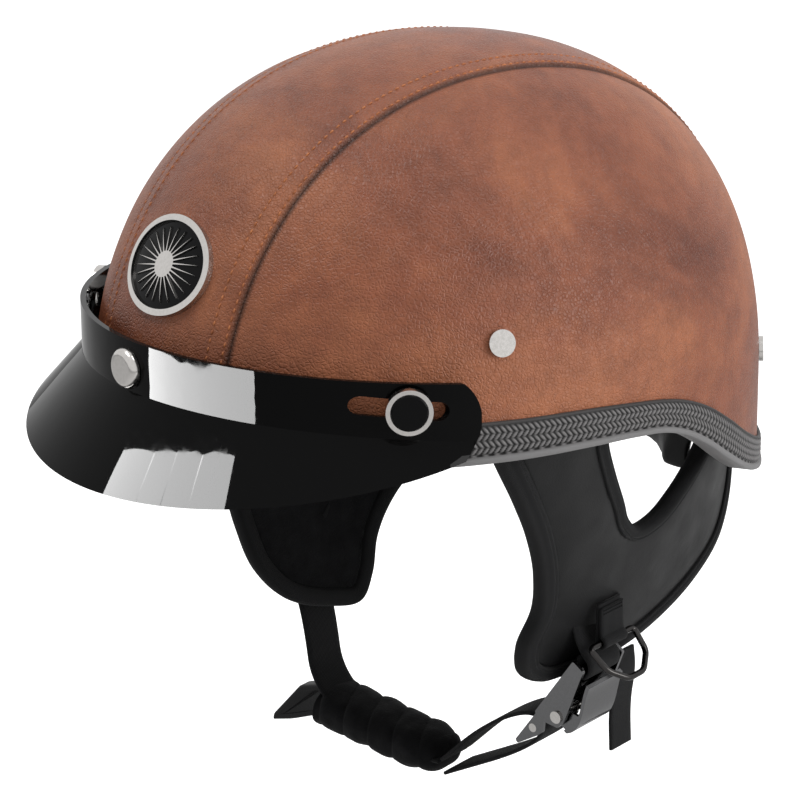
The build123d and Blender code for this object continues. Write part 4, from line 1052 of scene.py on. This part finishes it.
def makeChinPad():
    look = padLook
    grid = []
    for i in range(look["rows"]):
        share = i / (look["rows"] - 1)
        at = look["start"] + (look["end"] - look["start"]) * share
        centre = look["startHeight"] + (look["endHeight"] - look["startHeight"]) * share
        length = look["end"] - look["start"]
        left = min(share * length / look["leftRound"], 1)
        right = min((1 - share) * length / look["rightRound"], 1)
        ends = min(1.0, math.sqrt(1 - (1 - left) ** 2) + look["leftEnd"])
        ends *= look["rightEnd"] + (1 - look["rightEnd"]) * math.sqrt(1 - (1 - right) ** 2)
        ring = []
        for j in range(look["columns"]):
            turn = 2 * math.pi * j / look["columns"]
            c, s = math.cos(turn), math.sin(turn)
            c, s = math.copysign(abs(c) ** 0.85, c), math.copysign(abs(s) ** 0.8, s)
            side = c * look["width"] / 2
            slanted = share * look["segments"] + look["slant"] * side / look["width"] / 9 + 5
            bulge = math.sin(math.pi * (slanted % 1) ** 0.8)
            crease = look["pinch"] * (1 - bulge**0.55) * (1.0 if 0.06 < share < 0.94 else 0.3)
            wave = noise.noise(Vector((at * 0.16, side * 0.12, s * 1.4))) * look["wave"]
            size = ends * (1 - (crease - wave) / (look["height"] / 2))
            wide = ends * (1 - (crease * 0.5 - wave) / (look["width"] / 2))
            ring.append((at, centre + s * look["height"] / 2 * size, side * wide))
        grid.append(ring)
    grid = np.array(grid)
    points = chinPoints(grid[..., :2].reshape(-1, 2)) + grid[..., 2:].reshape(-1, 1) * across
    points = points.reshape(*grid.shape[:2], 3)
    piece = gridMesh("chinPadSleeve", points, finishes["sleeve"], closeColumns=True, caps=True)
    outward(piece)
    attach(piece, "root")
    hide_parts("chin_pad")


tabLook = {
    "shares": (
        (-0.376, -0.9), (-0.46, -0.926), (-0.553, -1.032), (-0.555, -1.052), (-0.488, -1.032),
        (-0.376, -0.985),
    ),
    "corner": 1.4, "steps": 121,
    "section": (
        (2.4, -3.6), (1.1, -3.95), (0.3, -3.5), (0.0, -2.4), (0.0, 2.4), (0.3, 3.5), (1.1, 3.95), (2.4, 3.6),
    ),
}


def makePadTab():
    # leathercloth tongue that closes the sleeve: a leaf with rounded edges
    look = tabLook
    corners = np.array(look["shares"]) * strapLook["height"]
    loop = evenly(roundedLoop(corners, look["corner"]), look["steps"])[:-1]
    inwards = leftOf(loopAhead(loop))
    grid = [chinPoints(loop + inwards * inset, side) for inset, side in look["section"]]
    piece = gridMesh("padTab", np.array(grid), finishes["blackLeather"], closeColumns=True, caps=True)
    outward(piece)
    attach(piece, "root")
    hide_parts("pad_tab")


makeChinPad()
makePadTab()
print("chin pad made")

# comfort pads and nape pad: puffed by a short cloth run from the solids' own shapes
cushionNames = {
    "pad_crown": "padCrown", "pad_front": "padFront", "pad_back": "padBack", "pad_left": "padLeft",
    "pad_right": "padRight", "nape_pad": "napePad",
}
cushionLook = {
    "voxel": 0.004, "pressure": 4.0, "mass": 0.3, "frames": 20, "cap": 0.0016, "proud": 0.0008,
    "foamInset": 28.8, "napeHeight": 0.85, "fill": 0.6,
}


def puff(piece):
    # the mesh's points after a short run of cloth under pressure, none moved further than the cap
    look = cushionLook
    before = np.array([v.co for v in piece.data.vertices])
    cloth = piece.modifiers.new("cloth", "CLOTH")
    cloth.settings.use_pressure = True
    cloth.settings.uniform_pressure_force = look["pressure"]
    cloth.settings.effector_weights.gravity = 0
    cloth.settings.mass = look["mass"]
    cloth.point_cache.frame_start = 1
    cloth.point_cache.frame_end = look["frames"]
    for step in range(1, look["frames"] + 1):
        scene.frame_set(step)
    posed = piece.evaluated_get(bpy.context.evaluated_depsgraph_get())
    after = np.array([v.co for v in posed.data.vertices])
    piece.modifiers.remove(cloth)
    scene.frame_set(1)
    if after.shape == before.shape and np.isfinite(after).all():
        move = after - before
        length = np.linalg.norm(move, axis=1, keepdims=True)
        before = before + move * np.minimum(1, look["cap"] / np.maximum(length, 1e-9))
    return before


def makeCushion(node):
    look = cushionLook
    nape = node == "nape_pad"
    mesh = nodes[node].data.copy()
    mesh.name = cushionNames[node]
    piece = bpy.data.objects.new(cushionNames[node], mesh)
    scene.collection.objects.link(piece)
    bpy.context.view_layer.objects.active = piece
    piece.select_set(True)
    form = bmesh.new()
    form.from_mesh(mesh)
    bmesh.ops.remove_doubles(form, verts=form.verts, dist=1e-6)
    form.to_mesh(mesh)
    form.free()
    mesh.remesh_voxel_size = look["voxel"]
    bpy.ops.object.voxel_remesh()
    mesh = piece.data
    low, high = [np.array(corner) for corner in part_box(node)]
    points = puff(piece)
    if not nape:
        reach = np.array((dome["halfWidth"], dome["halfLength"], dome["height"])) - look["foamInset"]
        p = dome["power"]
        flat = np.hypot(points[:, 0] / (reach[0] * mm), points[:, 1] / (reach[1] * mm))
        rise = np.clip(points[:, 2], 0, None) / (reach[2] * mm)
        share = (flat**p + rise**p) ** (1 / p)
        points = points / np.maximum(share, 1.0)[:, None]
    points = np.clip(points, low - look["proud"], high + look["proud"])
    if nape:
        points[:, 2] = high[2] - (high[2] - points[:, 2]) * look["napeHeight"]
    mesh.vertices.foreach_set("co", points.ravel())
    mesh.update()
    smooth = piece.modifiers.new("smooth", "SUBSURF")
    smooth.levels = smooth.render_levels = 1
    bpy.ops.object.modifier_apply(modifier="smooth")
    piece.select_set(False)
    mesh = piece.data
    mesh.materials.clear()
    mesh.materials.append(finishes["blackLeather" if nape else "lining"])
    for polygon in mesh.polygons:
        polygon.use_smooth = True
        polygon.material_index = 0
    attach(piece, "root")
    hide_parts(node)


for node in cushionNames:
    makeCushion(node)
print("pads made")

# camera at the photograph's angle
viewLook = {
    "back": (0.7329, -0.5982, 0.3239), "distance": 1.297, "lens": 148.6, "sensor": 36,
    "shift": (-0.0398, -0.0151), "clipStart": 0.05,
}


def makeCamera():
    look = viewLook
    camera = bpy.data.objects.new("camera", bpy.data.cameras.new("camera"))
    scene.collection.objects.link(camera)
    back = Vector(look["back"]).normalized()
    camera.location = back * look["distance"]
    camera.rotation_euler = back.to_track_quat("Z", "Y").to_euler()
    camera.data.lens = look["lens"]
    camera.data.sensor_width = look["sensor"]
    camera.data.shift_x, camera.data.shift_y = look["shift"]
    camera.data.clip_start = look["clipStart"]
    scene.camera = camera


# light: a white room, broad softboxes, and strips that only the visor mirrors
# a lamp is its name, place, target, size, roll in degrees and power
lightLook = {
    "world": 0.35,
    "softboxes": (
        ("softboxFront", (-0.3, -0.55, 1.35), (0.0, -0.05, 0.05), (0.7, 0.4), 0.0, 8.0),
        ("softboxTop", (0.45, 0.3, 1.25), (0.0, 0.0, 0.05), (0.8, 0.5), 0.0, 5.0),
        ("softboxSide", (1.2, 0.5, 0.35), (0.0, 0.0, 0.0), (0.6, 0.7), 0.0, 9.0),
    ),
    "strips": (
        ("stripBand", (-0.118, -0.686, -0.178), (0.034, -0.136, 0.039), (0.59, 0.065), 0.0, 9.0),
        ("stripPeakA", (-0.2297, -0.4225, 0.2767), (0.0218, -0.1582, 0.0085), (0.103, 0.034), 36.7, 0.8),
        ("stripPeakB", (-0.1501, -0.4337, 0.3072), (0.0345, -0.1543, 0.0094), (0.069, 0.036), 36.2, 0.57),
        ("stripPeakC", (-0.0842, -0.4374, 0.3373), (0.0447, -0.1502, 0.0098), (0.076, 0.038), 33.8, 0.66),
        ("stripPeakD", (-0.0093, -0.4355, 0.3768), (0.055, -0.1446, 0.0104), (0.094, 0.04), 31.2, 0.86),
    ),
}


def makeLamp(name, place, target, size, roll, power, mirrored):
    data = bpy.data.lights.new(name, "AREA")
    data.shape = "RECTANGLE"
    data.size, data.size_y = size
    data.energy = power
    lamp = bpy.data.objects.new(name, data)
    lamp.location = place
    facing = (Vector(place) - Vector(target)).to_track_quat("Z", "Y")
    lamp.rotation_euler = (facing @ Quaternion((0, 0, 1), math.radians(roll))).to_euler()
    lamp.visible_camera = False
    lamp.visible_diffuse = not mirrored
    scene.collection.objects.link(lamp)
    return lamp


def makeLights():
    for lamp in lightLook["softboxes"]:
        makeLamp(*lamp, False)
    mirrors = bpy.data.collections.new("peakMirrors")
    mirrors.objects.link(nodes["visor"])
    for lamp in lightLook["strips"]:
        makeLamp(*lamp, True).light_linking.receiver_collection = mirrors


def makeWorld():
    world = bpy.data.worlds.new("whiteRoom")
    scene.world = world
    world.use_nodes = True
    tree = world.node_tree
    tree.nodes.clear()
    path = tree.nodes.new("ShaderNodeLightPath")
    seen = path.outputs["Is Camera Ray"]
    for ray in ("Is Glossy Ray", "Is Transmission Ray"):
        either = tree.nodes.new("ShaderNodeMath")
        either.operation = "MAXIMUM"
        tree.links.new(seen, either.inputs[0])
        tree.links.new(path.outputs[ray], either.inputs[1])
        seen = either.outputs[0]
    both = tree.nodes.new("ShaderNodeMixShader")
    tree.links.new(seen, both.inputs[0])
    for socket, strength in ((1, lightLook["world"]), (2, 1.0)):
        plain = tree.nodes.new("ShaderNodeBackground")
        plain.inputs["Color"].default_value = (1, 1, 1, 1)
        plain.inputs["Strength"].default_value = strength
        tree.links.new(plain.outputs[0], both.inputs[socket])
    out = tree.nodes.new("ShaderNodeOutputWorld")
    tree.links.new(both.outputs[0], out.inputs[0])


floorLook = {"radius": 3.0, "height": -0.235, "sides": 64, "glow": 0.75}


def makeFloor():
    # pale round floor a hand's width under the straps, nearly white, that keeps a soft shadow
    look = floorLook
    made = Finish("paleFloor", (0.9, 0.9, 0.9), 0.9, Specular_IOR_Level=0.1)
    path = made.node("ShaderNodeLightPath").outputs["Is Camera Ray"]
    made.shader.inputs["Emission Color"].default_value = (1, 1, 1, 1)
    made.tree.links.new(made.maths("MULTIPLY", path, look["glow"]), made.shader.inputs["Emission Strength"])
    turns = np.linspace(0, 2 * math.pi, look["sides"], endpoint=False)
    points = [(look["radius"] * math.cos(t), look["radius"] * math.sin(t), look["height"]) for t in turns]
    mesh = bpy.data.meshes.new("floor")
    mesh.from_pydata(points, [], [tuple(range(look["sides"]))])
    floor = bpy.data.objects.new("floor", mesh)
    scene.collection.objects.link(floor)
    mesh.materials.append(made.material)


makeCamera()
makeLights()
makeWorld()
makeFloor()
scene.view_settings.view_transform = "Standard"
